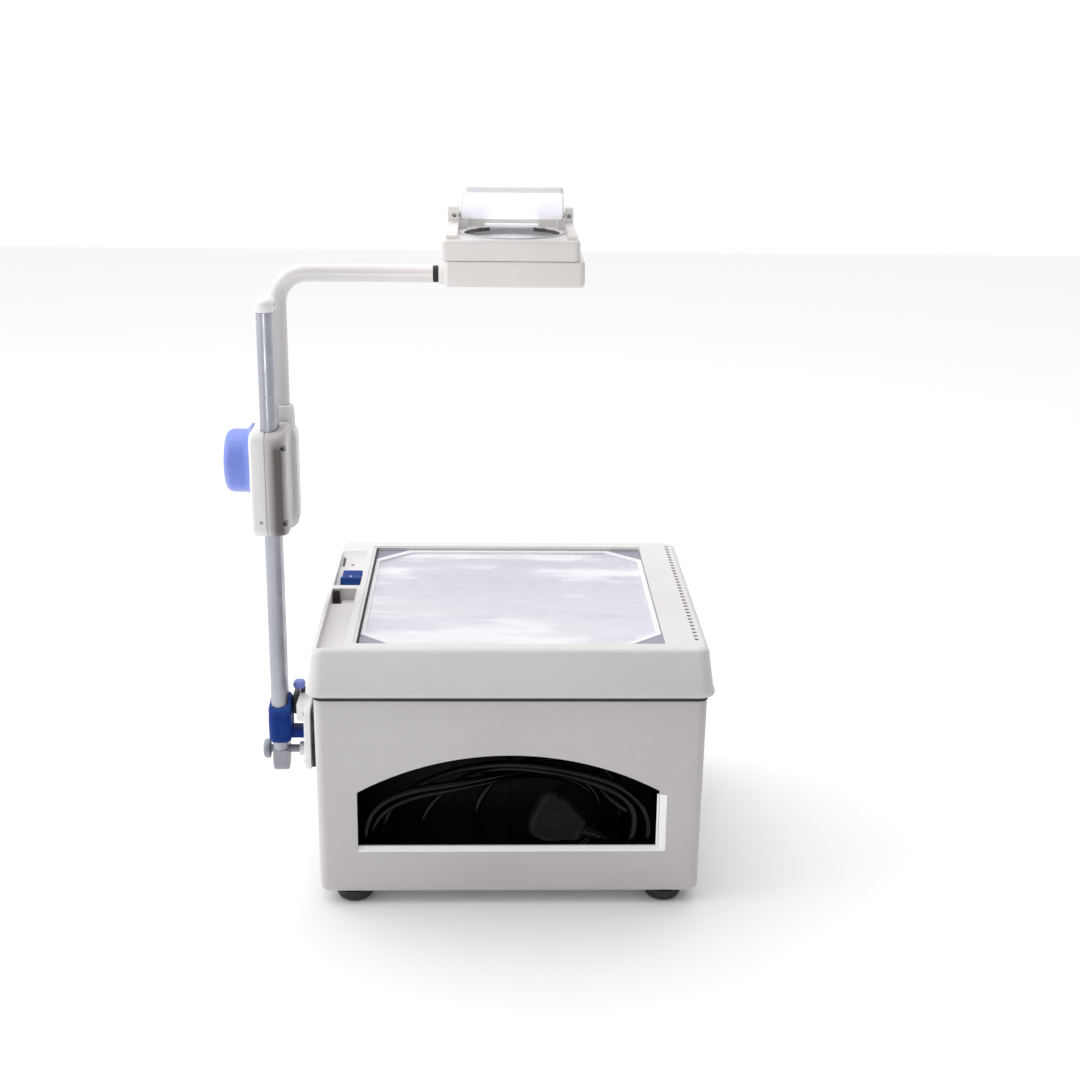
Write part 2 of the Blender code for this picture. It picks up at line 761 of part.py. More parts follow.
def make_hinges():
    for side, x in (("left", -HINGE_X), ("right", HINGE_X)):
        y, z = HINGE_Y, HINGE_Z
        lower = block(
            f"lower_hinge_leaf_{side}",
            (x - HINGE_HALF, BODY_D + GAP, 0.188),
            (x + HINGE_HALF, BODY_D + 0.0018, 0.2115),
            "steel",
        )
        tongue = block(f"lower_tongue_{side}", (x - 0.0075, BODY_D + GAP, 0.2095), (x + 0.0075, y, 0.2112))
        barrel = disc(f"lower_barrel_{side}", HINGE_R, -0.0075, 0.0075, (x, y, z), (1, 0, 0), None, 16)
        bore = disc(f"lower_bore_{side}", HINGE_PIN_R + GAP, -0.03, 0.03, (x, y, z), (1, 0, 0), None, 12)
        join(lower, tongue, barrel)
        cut(lower, bore)
        back = LID_MID_Y + LID_HALF_D
        upper = block(
            f"upper_hinge_leaf_{side}",
            (x - HINGE_HALF, back + 0.0001, 0.2192),
            (x + HINGE_HALF, back + 0.0016, 0.238),
            "steel",
        )
        knuckles = []
        for end, sign in (("a", -1), ("b", 1)):
            inner, outer = sorted((sign * 0.0085, sign * HINGE_HALF))
            knuckles.append(
                disc(f"upper_barrel_{side}_{end}", HINGE_R, inner, outer, (x, y, z), (1, 0, 0), None, 16)
            )
            knuckles.append(
                block(
                    f"upper_tongue_{side}_{end}",
                    (x + inner, back + 0.0001, z),
                    (x + outer, back + 0.0016, 0.2195),
                )
            )
        join(upper, *knuckles)
        cut(upper, bore)
        reach = HINGE_HALF - 0.001
        disc(f"hinge_pin_{side}", HINGE_PIN_R, -reach, reach, (x, y, z), (1, 0, 0), "steel", 12)


def make_bracket():
    x0, x1 = BRACKET_X
    y = POST_Y
    outline = rounded((y - 0.040, BRACKET_Z[0]), (y + 0.040, BRACKET_Z[1]), 0.006)
    bracket = prism("arm_bracket", outline, "x", x0, x1, "shell")
    pad = block("bracket_pad", (x1 - 0.002, y - 0.023, 0.096), (-BODY_W / 2 - GAP, y + 0.030, 0.156))
    head_outline = rounded((y - 0.018, 0.1440), (y + 0.022, 0.1610), 0.003)
    head = prism("bracket_head", head_outline, "x", -0.211, x0 + 0.002)
    boss = disc("bracket_boss", 0.0072, -0.002, 0.009, (x0, y, PIVOT_Z), (-1, 0, 0), None, 20)
    well = disc("bracket_well", PIVOT_R + GAP, -0.003, 0.02, (x0, y, PIVOT_Z), (-1, 0, 0), None, 16)
    shaft = disc("button_well", 0.0032, 0.1455, 0.2, (-0.2055, y + 0.012, 0), (0, 0, 1), None, 16)
    join(bracket, pad, head, boss)
    cut(bracket, well, shaft)
    button = [
        (0, 0.1500),
        (0.0028, 0.1500),
        (0.0028, 0.1685),
        (0.0042, 0.1700),
        (0.0045, 0.1800),
        (0.0042, 0.1850),
        (0.0030, 0.1880),
        (0, 0.1890),
    ]
    turned("release_button", button, (-0.2055, y + 0.012, 0), (0, 0, 1), "blue", 16)
    pin = [
        (0, -0.0022),
        (PIVOT_R, -0.0022),
        (PIVOT_R, 0.0381),
        (0.0093, 0.0381),
        (0.0096, 0.0392),
        (0.0096, 0.0425),
        (0.0080, 0.0445),
        (0, 0.0450),
    ]
    turned("pivot_pin", pin, (x0, y, PIVOT_Z), (-1, 0, 0), "aluminium", 20)


def post_outline(half_x, half_y, steps=6):
    """A flat oval whose ends are round, as (x, y)."""
    y = POST_Y
    straight = half_y - half_x
    return arc((POST_X, y - straight), half_x, 180, 360, steps) + arc(
        (POST_X, y + straight), half_x, 0, 180, steps
    )


def make_post():
    outside = post_outline(POST_HALF_X, POST_HALF_Y)
    inside = post_outline(POST_HALF_X - POST_WALL, POST_HALF_Y - POST_WALL)
    tube = prism("post_tube", outside, "z", POST_BOTTOM + GAP, POST_TOP, "aluminium")
    bore = prism("post_bore", inside, "z", 0.05, 0.6)
    cut(tube, bore)
    foot_half = POST_HALF_Y - 0.0015
    low = FOOT_BOTTOM + foot_half
    outline = arc((POST_Y, low), foot_half, 180, 360, 10) + [
        (POST_Y + foot_half, POST_BOTTOM),
        (POST_Y - foot_half, POST_BOTTOM),
    ]
    foot = prism("post_foot", outline, "x", POST_X - POST_HALF_X, POST_X + POST_HALF_X, "aluminium")
    spigot = prism(
        "foot_spigot",
        post_outline(POST_HALF_X - POST_WALL - GAP, POST_HALF_Y - POST_WALL - GAP, 4),
        "z",
        POST_BOTTOM - 0.004,
        POST_BOTTOM + 0.030,
    )
    hole = disc("foot_hole", PIVOT_R + GAP, -0.05, 0.05, (POST_X, POST_Y, PIVOT_Z), (1, 0, 0), None, 16)
    join(foot, spigot)
    cut(foot, hole)
    grow = 0.0012
    levels = (
        (POST_TOP + GAP, grow),
        (POST_TOP + 0.007, grow),
        (POST_TOP + 0.0105, -0.0005),
        (POST_TOP + 0.012, -0.003),
    )
    loft(
        "post_cap",
        [[(x, y, z) for x, y in post_outline(POST_HALF_X + g, POST_HALF_Y + g)] for z, g in levels],
        "shell",
    )


def make_collar():
    x = POST_X + 0.0005
    outline = rounded(
        (x - COLLAR_HALF_X, POST_Y - COLLAR_HALF_Y), (x + COLLAR_HALF_X, POST_Y + COLLAR_HALF_Y), 0.009, 5
    )
    collar = prism("lock_collar", outline, "z", COLLAR_BOTTOM, COLLAR_TOP, "blue")
    bore = prism("collar_bore", post_outline(POST_HALF_X + 0.0005, POST_HALF_Y + 0.0005), "z", 0.05, 0.2)
    scoop = prism(
        "collar_scoop",
        [
            (POST_Y - 0.05, 0.151),
            (POST_Y - 0.004, 0.153),
            (POST_Y + 0.010, COLLAR_TOP + 0.001),
            (POST_Y - 0.05, 0.18),
        ],
        "x",
        POST_X - 0.03,
        POST_X + 0.03,
    )
    hook = block(
        "collar_hook",
        (x + COLLAR_HALF_X - 0.004, POST_Y - 0.009, COLLAR_BOTTOM + 0.0015),
        (-0.2006, POST_Y + 0.009, 0.1315),
        None,
        0.0015,
        1,
    )
    join(collar, hook)
    cut(collar, bore, scoop)


def carriage_half(name, seam, outer):
    """One half of the carriage, with its outer edges rounded."""
    y0, y1 = CARRIAGE_Y
    z0, z1 = CARRIAGE_Z
    step = CARRIAGE_EDGE if seam > outer else -CARRIAGE_EDGE
    levels = (
        (seam, 0.0),
        (outer + step, 0.0),
        (outer + 0.3 * step, 0.3 * CARRIAGE_EDGE),
        (outer, CARRIAGE_EDGE),
    )
    rings = []
    for x, inset in levels:
        corners = (y0 + inset, z0 + inset), (y1 - inset, z1 - inset)
        rings.append([(x, y, z) for y, z in rounded(*corners, CARRIAGE_CORNER - inset, 5)])
    return loft(name, rings, "shell")


def make_carriage():
    x0, x1 = CARRIAGE_X
    y0 = CARRIAGE_Y[0]
    oval = post_outline(POST_HALF_X + 0.0006, POST_HALF_Y + 0.0006)
    axle = (POST_X, KNOB_Y, KNOB_Z)
    channel = prism("carriage_channel", oval, "z", 0.2, 0.6)
    roller_room = disc("roller_room", ROLLER_R + 0.001, -0.0115, 0.0115, axle, (1, 0, 0), None, 20)
    shaft_hole = disc("shaft_hole", 0.0042, -0.02, 0.0125, axle, (1, 0, 0), None, 16)
    left = carriage_half("carriage_left", SEAM_X - GAP / 2, x0)
    right = carriage_half("carriage_right", SEAM_X + GAP / 2, x1)
    cut(left, channel, roller_room, shaft_hole)
    holes = []
    for name, z in (("upper", 0.4225), ("lower", 0.3495)):
        seat = (x1 - 0.0086, y0 + 0.0065, z)
        holes.append(disc(f"screw_hole_{name}", 0.0034, -0.0004, 0.0091, seat, (1, 0, 0), None, 14))
        screw = disc(f"carriage_screw_{name}", 0.0030, 0.0, 0.0030, seat, (1, 0, 0), "black", 14)
        slot_low = (x1 - 0.0066, y0 + 0.0040, z - 0.0005)
        slot_high = (x1 - 0.0050, y0 + 0.0090, z + 0.0005)
        cut(screw, block(f"screw_slot_{name}", slot_low, slot_high))
    cut(right, channel, roller_room, shaft_hole, *holes)


def make_arm_holder():
    y0 = CARRIAGE_Y[1] + GAP
    z0, z1 = 0.3275, 0.430
    x0, x1 = ARM_X - 0.0135, ARM_X + 0.0150
    back = STAGE_Y + 0.0125
    levels = ((y0, 0.0), (back - 0.004, 0.0), (back - 0.0012, 0.0012), (back, 0.004))
    rings = [
        [(x, y, z) for x, z in rounded((x0 + inset, z0 + inset), (x1 - inset, z1 - inset), 0.011 - inset, 5)]
        for y, inset in levels
    ]
    holder = loft("arm_holder", rings, "shell")
    collar = turned(
        "holder_collar",
        [(0, 0), (0.0130, 0), (0.0126, 0.026), (0.0115, 0.0315), (0, 0.0315)],
        (ARM_X, STAGE_Y, z1 - 0.0115),
        (0, 0, 1),
        None,
        24,
    )
    foot = ARM_FOOT_Z - 0.001
    bore = disc("holder_bore", ARM_R + GAP, foot, 0.6, (ARM_X, STAGE_Y, 0), (0, 0, 1), None, 24)
    front = block("holder_front", (x0 - 0.01, y0 - 0.01, z0), (x1 + 0.01, y0 + GAP, CARRIAGE_Z[1] + GAP))
    cut(collar, front)
    join(holder, collar)
    cut(holder, bore)


def make_knob():
    depth = KNOB_X[1] - KNOB_X[0]
    r = KNOB_R
    profile = [
        (0.0036, 0.0),
        (KNOB_FLANGE_R, 0.0),
        (KNOB_FLANGE_R, 0.0015),
        (KNOB_FLANGE_R - 0.004, 0.0045),
        (r, 0.0065),
        (r, depth - 0.006),
        (r - 0.0018, depth - 0.0020),
        (r - 0.0060, depth),
        (0.0, depth),
        (0.0, depth - 0.008),
        (0.0036, depth - 0.008),
    ]
    turned("focus_knob", profile, (KNOB_X[1], KNOB_Y, KNOB_Z), (-1, 0, 0), "knob", 36)
    start = POST_X + 0.0125
    reach = start - KNOB_X[0] - 0.0085
    shaft = disc("knob_shaft", 0.0033, 0.0008, reach, (start, KNOB_Y, KNOB_Z), (-1, 0, 0), "steel", 16)
    roller = disc("focus_roller", ROLLER_R, -0.0105, 0.0105, (POST_X, KNOB_Y, KNOB_Z), (1, 0, 0), None, 20)
    join(shaft, roller)


def make_arm():
    centre = (ARM_X + ARM_BEND, ARM_TOP_Z - ARM_BEND)
    bend = arc(centre, ARM_BEND, 180, 90, 8)
    path = [(ARM_X, STAGE_Y, ARM_FOOT_Z)]
    path += [(x, STAGE_Y, z) for x, z in bend]
    path.append((ARM_END_X - GAP, STAGE_Y, ARM_TOP_Z))
    pipe("arm_tube", path, ARM_R, ARM_BORE, "shell")
    ring = [(0.0060, 0), (0.0074, 0), (0.0074, 0.0047), (0.0060, 0.0047)]
    turned("neck_washer", ring, (ARM_END_X, STAGE_Y, ARM_TOP_Z), (1, 0, 0), "black", 20)


def make_head():
    y0, y1 = HEAD_Y
    x0, x1 = LOWER_X
    axis = (0, STAGE_Y, 0)
    low, high = LOWER_Z
    lower = block("head_lower_housing", (x0, y0, low), (x1, y1, high), "shell", 0.0022, 2)
    lower_bore = disc("lower_bore", 0.047, low - 0.01, high + 0.01, axis, (0, 0, 1), None, 36)
    neck = turned(
        "head_neck",
        [(0, -0.030), (0.0057, -0.030), (0.0057, 0.0050), (0.0095, 0.0053), (0.0100, 0.0140), (0, 0.0140)],
        (ARM_END_X, STAGE_Y, ARM_TOP_Z),
        (1, 0, 0),
        None,
        20,
    )
    trim = block(
        "neck_trim", (x0 - 0.05, STAGE_Y - 0.03, low - 0.03), (x0 + 0.02, STAGE_Y + 0.03, low - 0.006)
    )
    cut(neck, trim)
    join(lower, neck)
    cut(lower, lower_bore)
    low, high = UPPER_Z
    x0, x1 = UPPER_X
    upper = block("head_upper_housing", (x0, y0 + 0.0005, low), (x1, y1, high), "shell", 0.0022, 2)
    bore = disc("upper_bore", LENS_R + GAP, low + 0.004, 0.7, axis, (0, 0, 1), None, 40)
    throat = disc("upper_throat", 0.045, 0.5, 0.7, axis, (0, 0, 1), None, 36)
    cheeks = []
    pivot_y, pivot_z = MIRROR_PIVOT
    profile = [(y0 + 0.006, high - 0.003), (y1 - 0.002, high - 0.003), (y1 - 0.004, pivot_z)]
    profile += arc((pivot_y, pivot_z), 0.009, 0, 110, 6)
    profile += [(y0 + 0.040, high + 0.012), (y0 + 0.006, high + 0.005)]
    pin_bore = disc("mirror_pin_bore", 0.0031, -0.07, 0.07, (0, pivot_y, pivot_z), (1, 0, 0), None, 14)
    for side, sign in (("left", -1), ("right", 1)):
        ends = sorted((sign * CHEEK_X[0], sign * CHEEK_X[1]))
        cheeks.append(prism(f"cheek_{side}", profile, "x", *ends))
    side = CHEEK_X[1]
    wall = block("head_back_wall", (-side, y1 - 0.0055, high - 0.003), (side, y1 - 0.002, high + 0.008))
    join(upper, *cheeks, wall)
    cut(upper, bore, throat, pin_bore)
    make_lenses()


def lens(name, radius, middle, rise, rim, kind="glass"):
    """A lens that bulges both ways from a rim, about the head's optical axis."""
    curve = (radius**2 + rise**2) / (2 * rise)
    reach = asin(radius / curve)
    upper = []
    for i in range(4):
        angle = reach * (1 - i / 3)
        upper.append((curve * sin(angle), middle + rim / 2 + curve * cos(angle) - (curve - rise)))
    lower = [(r, 2 * middle - z) for r, z in upper[::-1]]
    turned(name, lower + upper, (0, STAGE_Y, 0), (0, 0, 1), kind, 36)


def make_lenses():
    lens("objective_lens", LENS_R - 0.0003, UPPER_Z[0] + 0.0095, 0.0045, 0.004)
    top = UPPER_Z[1] - 0.0012
    ring = [
        (LENS_R - 0.0040, top - 0.0005),
        (LENS_R - 0.0003, top - 0.0005),
        (LENS_R - 0.0003, top + 0.0022),
        (LENS_R - 0.0020, top + 0.0022),
        (LENS_R - 0.0040, top + 0.0010),
    ]
    turned("lens_ring", ring, (0, STAGE_Y, 0), (0, 0, 1), "black", 36)


def mirror_point(along, up):
    """A point of the tilted mirror as (y, z), measured from its pivot towards the front."""
    y, z = MIRROR_PIVOT
    return (
        y - along * cos(MIRROR_TILT) + up * sin(MIRROR_TILT),
        z + along * sin(MIRROR_TILT) + up * cos(MIRROR_TILT),
    )


def mirror_plate(name, inset, low, high, kind=None):
    """A tapered plate in the mirror's plane, between two heights above its pivot."""
    back, front = MIRROR_HALF
    outline = [
        (-back + inset, -MIRROR_TAIL + inset),
        (back - inset, -MIRROR_TAIL + inset),
        (back - inset, 0.012),
        (front - inset, MIRROR_LENGTH - 0.006 - inset),
        (front - 0.004 - inset, MIRROR_LENGTH - inset),
        (-front + 0.004 + inset, MIRROR_LENGTH - inset),
        (-front + inset, MIRROR_LENGTH - 0.006 - inset),
        (-back + inset, 0.012),
    ]
    rings = []
    for up in (low, high):
        rings.append([(x, *mirror_point(along, up)) for x, along in outline])
    return loft(name, rings, kind)


def make_mirror():
    frame = mirror_plate("mirror_frame", 0, -0.003, 0.003, "shell")
    pocket = mirror_plate("mirror_pocket", 0.003, -0.010, 0.0003)
    cut(frame, pocket)
    y, z = MIRROR_PIVOT
    pins = [
        disc(f"mirror_pin_{side}", 0.0028, low, high, (0, y, z), (1, 0, 0), None, 14)
        for side, low, high in (("left", -0.0565, -0.0475), ("right", 0.0475, 0.0565))
    ]
    join(frame, *pins)
    mirror_plate("mirror_glass", 0.0034, -0.0027, 0.0, "mirror")


def main():
    clear_scene()
    make_body()
    make_compartment()
    make_cord()
    make_lamp_group()
    make_power_group()
    make_fan()
    make_lid()
    make_hinges()
    make_bracket()
    make_post()
    make_collar()
    make_carriage()
    make_arm_holder()
    make_knob()
    make_arm()
    make_head()
    make_mirror()


main()
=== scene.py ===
"""The looks of the overhead projector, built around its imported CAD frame.

Metres, +Z up, front towards -Y. at() measures from the body: x from its centre line,
y back from its front face, z from the floor.
"""

import json

from math import acos, asin, atan2, cos, degrees, exp, pi, radians, sin

import bmesh
import bpy
import numpy as np
from mathutils import Matrix, Vector

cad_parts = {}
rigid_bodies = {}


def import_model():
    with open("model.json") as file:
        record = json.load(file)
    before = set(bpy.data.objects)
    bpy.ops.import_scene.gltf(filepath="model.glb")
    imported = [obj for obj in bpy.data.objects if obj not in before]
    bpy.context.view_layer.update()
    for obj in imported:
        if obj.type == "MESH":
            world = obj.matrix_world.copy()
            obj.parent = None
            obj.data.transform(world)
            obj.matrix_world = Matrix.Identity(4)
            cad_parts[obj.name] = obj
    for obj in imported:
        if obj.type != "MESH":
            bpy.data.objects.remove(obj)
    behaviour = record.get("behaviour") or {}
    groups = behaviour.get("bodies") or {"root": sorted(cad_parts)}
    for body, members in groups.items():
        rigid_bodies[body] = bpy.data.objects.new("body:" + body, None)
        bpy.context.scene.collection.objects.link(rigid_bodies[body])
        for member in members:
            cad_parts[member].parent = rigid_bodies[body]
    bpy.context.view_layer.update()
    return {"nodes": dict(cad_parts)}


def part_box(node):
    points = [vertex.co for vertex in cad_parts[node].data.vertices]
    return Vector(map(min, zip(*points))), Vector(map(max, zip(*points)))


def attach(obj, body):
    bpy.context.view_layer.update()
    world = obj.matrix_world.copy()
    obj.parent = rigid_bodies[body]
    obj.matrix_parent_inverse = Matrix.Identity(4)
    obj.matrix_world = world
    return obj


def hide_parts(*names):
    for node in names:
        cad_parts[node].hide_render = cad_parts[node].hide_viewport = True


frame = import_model()

BODY_LOW, BODY_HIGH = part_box("body_shell")
ORIGIN_X = (BODY_LOW[0] + BODY_HIGH[0]) / 2
ORIGIN_Y = BODY_LOW[1]
UP, LEFT, RIGHT, FORWARD, BACK = (0, 0, 1), (-1, 0, 0), (1, 0, 0), (0, -1, 0), (0, 1, 0)


def at(x, y, z):
    """A point measured from the body's centre line, its front face and the floor."""
    return Vector((x + ORIGIN_X, y + ORIGIN_Y, z))


# ---------------------------------------------------------------- mesh helpers


def keep(name, shape):
    """Turns a bmesh into a named object in the scene."""
    bmesh.ops.recalc_face_normals(shape, faces=shape.faces)
    mesh = bpy.data.meshes.new(name)
    shape.to_mesh(mesh)
    shape.free()
    obj = bpy.data.objects.new(name, mesh)
    bpy.context.scene.collection.objects.link(obj)
    return obj


def apply_all(obj):
    """Makes the object's modifiers part of its mesh."""
    bpy.context.view_layer.update()
    graph = bpy.context.evaluated_depsgraph_get()
    made = bpy.data.meshes.new_from_object(obj.evaluated_get(graph))
    obj.modifiers.clear()
    old = obj.data
    obj.data = made
    bpy.data.meshes.remove(old)
    return obj


def combine(obj, others, operation):
    for other in others:
        modifier = obj.modifiers.new(operation.lower(), "BOOLEAN")
        modifier.operation = operation
        modifier.solver = "EXACT"
        modifier.object = other
    apply_all(obj)
    for other in others:
        mesh = other.data
        bpy.data.objects.remove(other)
        bpy.data.meshes.remove(mesh)
    return obj


def cut(obj, *cutters):
    return combine(obj, cutters, "DIFFERENCE")


def join(obj, *others):
    return combine(obj, others, "UNION")


def loft(name, rings, closed=False):
    """A solid through rings of equally many points, with flat ends unless closed on itself."""
    shape = bmesh.new()
    made = [[shape.verts.new(at(*point)) for point in ring] for ring in rings]
    count = len(rings[0])
    pairs = list(zip(made, made[1:]))
    if closed:
        pairs.append((made[-1], made[0]))
    for low, high in pairs:
        for i in range(count):
            j = (i + 1) % count
            shape.faces.new((low[i], low[j], high[j], high[i]))
    if not closed:
        shape.faces.new(made[0][::-1])
        shape.faces.new(made[-1])
    return keep(name, shape)


def arc(centre, radius, start, end, steps):
    """Points on a circle in a plane, from one angle to another in degrees."""
    return [
        (
            centre[0] + radius * cos(radians(start + (end - start) * i / steps)),
            centre[1] + radius * sin(radians(start + (end - start) * i / steps)),
        )
        for i in range(steps + 1)
    ]


def rounded(low, high, radius, steps=8):
    """The outline of a rectangle with rounded corners, anticlockwise."""
    (x0, y0), (x1, y1) = low, high
    return (
        arc((x1 - radius, y0 + radius), radius, -90, 0, steps)
        + arc((x1 - radius, y1 - radius), radius, 0, 90, steps)
        + arc((x0 + radius, y1 - radius), radius, 90, 180, steps)
        + arc((x0 + radius, y0 + radius), radius, 180, 270, steps)
    )


def drawn_in(low, high, inset, corner, steps=8):
    """A rounded rectangle whose sides are drawn in by a distance."""
    (x0, y0), (x1, y1) = low, high
    return rounded((x0 + inset, y0 + inset), (x1 - inset, y1 - inset), corner, steps)


def rim_steps(edge, turns=6):
    """The (inset, rise) steps of a quarter-round rim, from its flat face to its full width."""
    angles = [radians(90 * turn / turns) for turn in range(turns + 1)]
    return [(edge * (1 - sin(angle)), edge * (1 - cos(angle))) for angle in angles]


AXIS_ORDER = {
    "x": lambda a, b, level: (level, a, b),
    "y": lambda a, b, level: (a, level, b),
    "z": lambda a, b, level: (a, b, level),
}


def prism(name, outline, axis, low, high):
    """An outline extruded along an axis: (y, z) along x, (x, z) along y, (x, y) along z."""
    order = AXIS_ORDER[axis]
    return loft(name, [[order(a, b, level) for a, b in outline] for level in (low, high)])


def pillow(name, low, high, axis, corner, edge, steps=8, turns=4, ends=(True, True)):
    """A block with rounded corners round one axis and rounded rims at its chosen ends."""
    order = AXIS_ORDER[axis]
    index = "xyz".index(axis)
    flat = [i for i in range(3) if i != index]
    a0, b0 = (low[i] for i in flat)
    a1, b1 = (high[i] for i in flat)
    first, last = (rim_steps(edge, turns) if end else [(0.0, 0.0)] for end in ends)
    levels = [(inset, low[index] + rise) for inset, rise in first]
    levels += [(inset, high[index] - rise) for inset, rise in last[::-1]]
    rings = []
    for inset, level in levels:
        outline = drawn_in((a0, b0), (a1, b1), inset, max(corner - inset, 0.0004), steps)
        rings.append([order(a, b, level) for a, b in outline])
    return loft(name, rings)


def block(name, low, high):
    shape = bmesh.new()
    bmesh.ops.create_cube(shape, size=1)
    bmesh.ops.scale(shape, vec=Vector(high) - Vector(low), verts=shape.verts)
    bmesh.ops.translate(shape, vec=at(*((Vector(high) + Vector(low)) / 2)), verts=shape.verts)
    return keep(name, shape)


def turned(name, profile, centre, axis, steps=64):
    """A profile of (radius, height) points spun about an axis through a centre."""
    shape = bmesh.new()
    points = [shape.verts.new((radius, 0, height)) for radius, height in profile]
    edges = [shape.edges.new(pair) for pair in zip(points, points[1:])]
    if profile[0][0] > 0 or profile[-1][0] > 0:
        edges.append(shape.edges.new((points[-1], points[0])))
    bmesh.ops.spin(
        shape, geom=points + edges, cent=(0, 0, 0), axis=UP, angle=2 * pi, steps=steps,
        use_merge=True,
    )
    bmesh.ops.remove_doubles(shape, verts=shape.verts, dist=1e-6)
    turn = Vector(UP).rotation_difference(Vector(axis)).to_matrix().to_4x4()
    bmesh.ops.transform(shape, matrix=Matrix.Translation(at(*centre)) @ turn, verts=shape.verts)
    return keep(name, shape)


def disc(name, radius, low, high, centre, axis, steps=48):
    """A plain round bar between two heights along its axis."""
    return turned(name, [(0, low), (radius, low), (radius, high), (0, high)], centre, axis, steps)


# Every material by its short name, filled in by main(), and the slot that each one goes in
PAINTS = {}
SLOT_OF = {
    "shell": "shell_plastic", "lid": "shell_plastic", "lip": "shell_plastic",
    "carriage": "shell_plastic", "cheek": "shell_plastic", "head": "shell_plastic",
    "mirror_back": "shell_plastic", "plug": "cord_jacket", "jacket": "cord_jacket",
    "brass": "sheet_steel", "black": "black_plastic", "gasket": "black_plastic",
    "liner": "liner_plastic", "seal": "rubber", "rubber": "rubber", "screw": "screw_black",
    "glass": "clear_glass", "lens": "clear_glass", "mask": "mask_grey", "trim": "mask_grey",
    "blue": "blue_plastic", "knob": "knob_plastic", "pilot": "ceramic_white",
    "foot_grey": "post_aluminium", "post": "post_aluminium", "tube": "painted_tube",
    "mirror": "mirror_coat",
}
SMOOTH_ANGLE = 32


def dress(obj, paint, body, *nodes, bevel=0.0, segments=2, smooth=SMOOTH_ANGLE, slot=None):
    """Gives a piece its paint, rounded edges, smooth shading and body, and hides its CAD nodes; the
    slot is looked up but not given.
    """
    obj.data.materials.clear()
    obj.data.materials.append(PAINTS[paint])
    obj.data.shade_smooth()
    obj.data.set_sharp_from_angle(angle=radians(smooth))
    if bevel:
        edge = obj.modifiers.new("edge", "BEVEL")
        edge.width = bevel
        edge.segments = segments
        edge.limit_method = "ANGLE"
        edge.angle_limit = radians(SMOOTH_ANGLE)
        edge.use_clamp_overlap = True
        edge.harden_normals = True
    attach(obj, body)
    if nodes:
        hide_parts(*nodes)
    slot = slot or SLOT_OF[paint]
    return obj


# ---------------------------------------------------------------- camera, floor and light


BACK_LIGHT = 1.10
FRONT_LIGHT = 0.27
LEFT_LIGHT = 0.35
RIGHT_LIGHT = -0.65
TOP_LIGHT = 0.42
FLOOR_REACH = 4.5
BACKDROP = 1.02
CAMERA_PLACE = (0.024688, -1.542556, 0.801784)
CAMERA_TURN = (0.0316542, 0.3077753, 0.0131484)
SENSOR_WIDTH = 36
# In widths of the picture
FOCAL_LENGTH = 1623.597 / 1080


def map_range(tree, value, low, high, to_low, to_high, kind="LINEAR"):
    node = tree.nodes.new("ShaderNodeMapRange")
    node.clamp = True
    node.interpolation_type = kind
    for key, number in (
        ("From Min", low), ("From Max", high), ("To Min", to_low), ("To Max", to_high)
    ):
        node.inputs[key].default_value = number
    tree.links.new(value, node.inputs["Value"])
    return node.outputs["Result"]


def make_camera():
    """The camera at the photograph's angle and distance."""
    yaw, pitch, roll = CAMERA_TURN
    forward = Vector((sin(yaw) * cos(pitch), cos(yaw) * cos(pitch), -sin(pitch)))
    right = Vector((cos(yaw), -sin(yaw), 0))
    up = right.cross(forward)
    tilted = cos(roll) * right + sin(roll) * up
    upright = -sin(roll) * right + cos(roll) * up
    data = bpy.data.cameras.new("camera")
    data.sensor_width = SENSOR_WIDTH
    data.lens = FOCAL_LENGTH * SENSOR_WIDTH
    data.clip_start = 0.05
    data.clip_end = 60
    camera = bpy.data.objects.new("camera", data)
    turn = Matrix((tilted, upright, -forward)).transposed().to_4x4()
    camera.matrix_world = Matrix.Translation(CAMERA_PLACE) @ turn
    bpy.context.scene.collection.objects.link(camera)
    bpy.context.scene.camera = camera


def make_floor():
    shape = bmesh.new()
    bmesh.ops.create_grid(shape, x_segments=2, y_segments=2, size=FLOOR_REACH)
    floor = keep("floor", shape)
    floor.location.z = -0.0002
    paint = bpy.data.materials.new("floor_paper")
    paint.use_nodes = True
    shader = paint.node_tree.nodes["Principled BSDF"]
    shader.inputs["Base Color"].default_value = (0.95, 0.95, 0.95, 1)
    shader.inputs["Roughness"].default_value = 0.9
    shader.inputs["Specular IOR Level"].default_value = 0.1
    shader.inputs["Emission Color"].default_value = (1, 1, 1, 1)
    shader.inputs["Emission Strength"].default_value = 0.05
    floor.data.materials.append(paint)


def lamp(name, where, target, size, watts, colour=(1, 1, 1)):
    data = bpy.data.lights.new(name, "AREA")
    data.shape = "RECTANGLE"
    data.size, data.size_y = size
    data.energy = watts
    data.color = colour
    obj = bpy.data.objects.new(name, data)
    obj.location = where
    obj.rotation_euler = (Vector(target) - Vector(where)).to_track_quat("-Z", "Y").to_euler()
    bpy.context.scene.collection.objects.link(obj)
    return obj


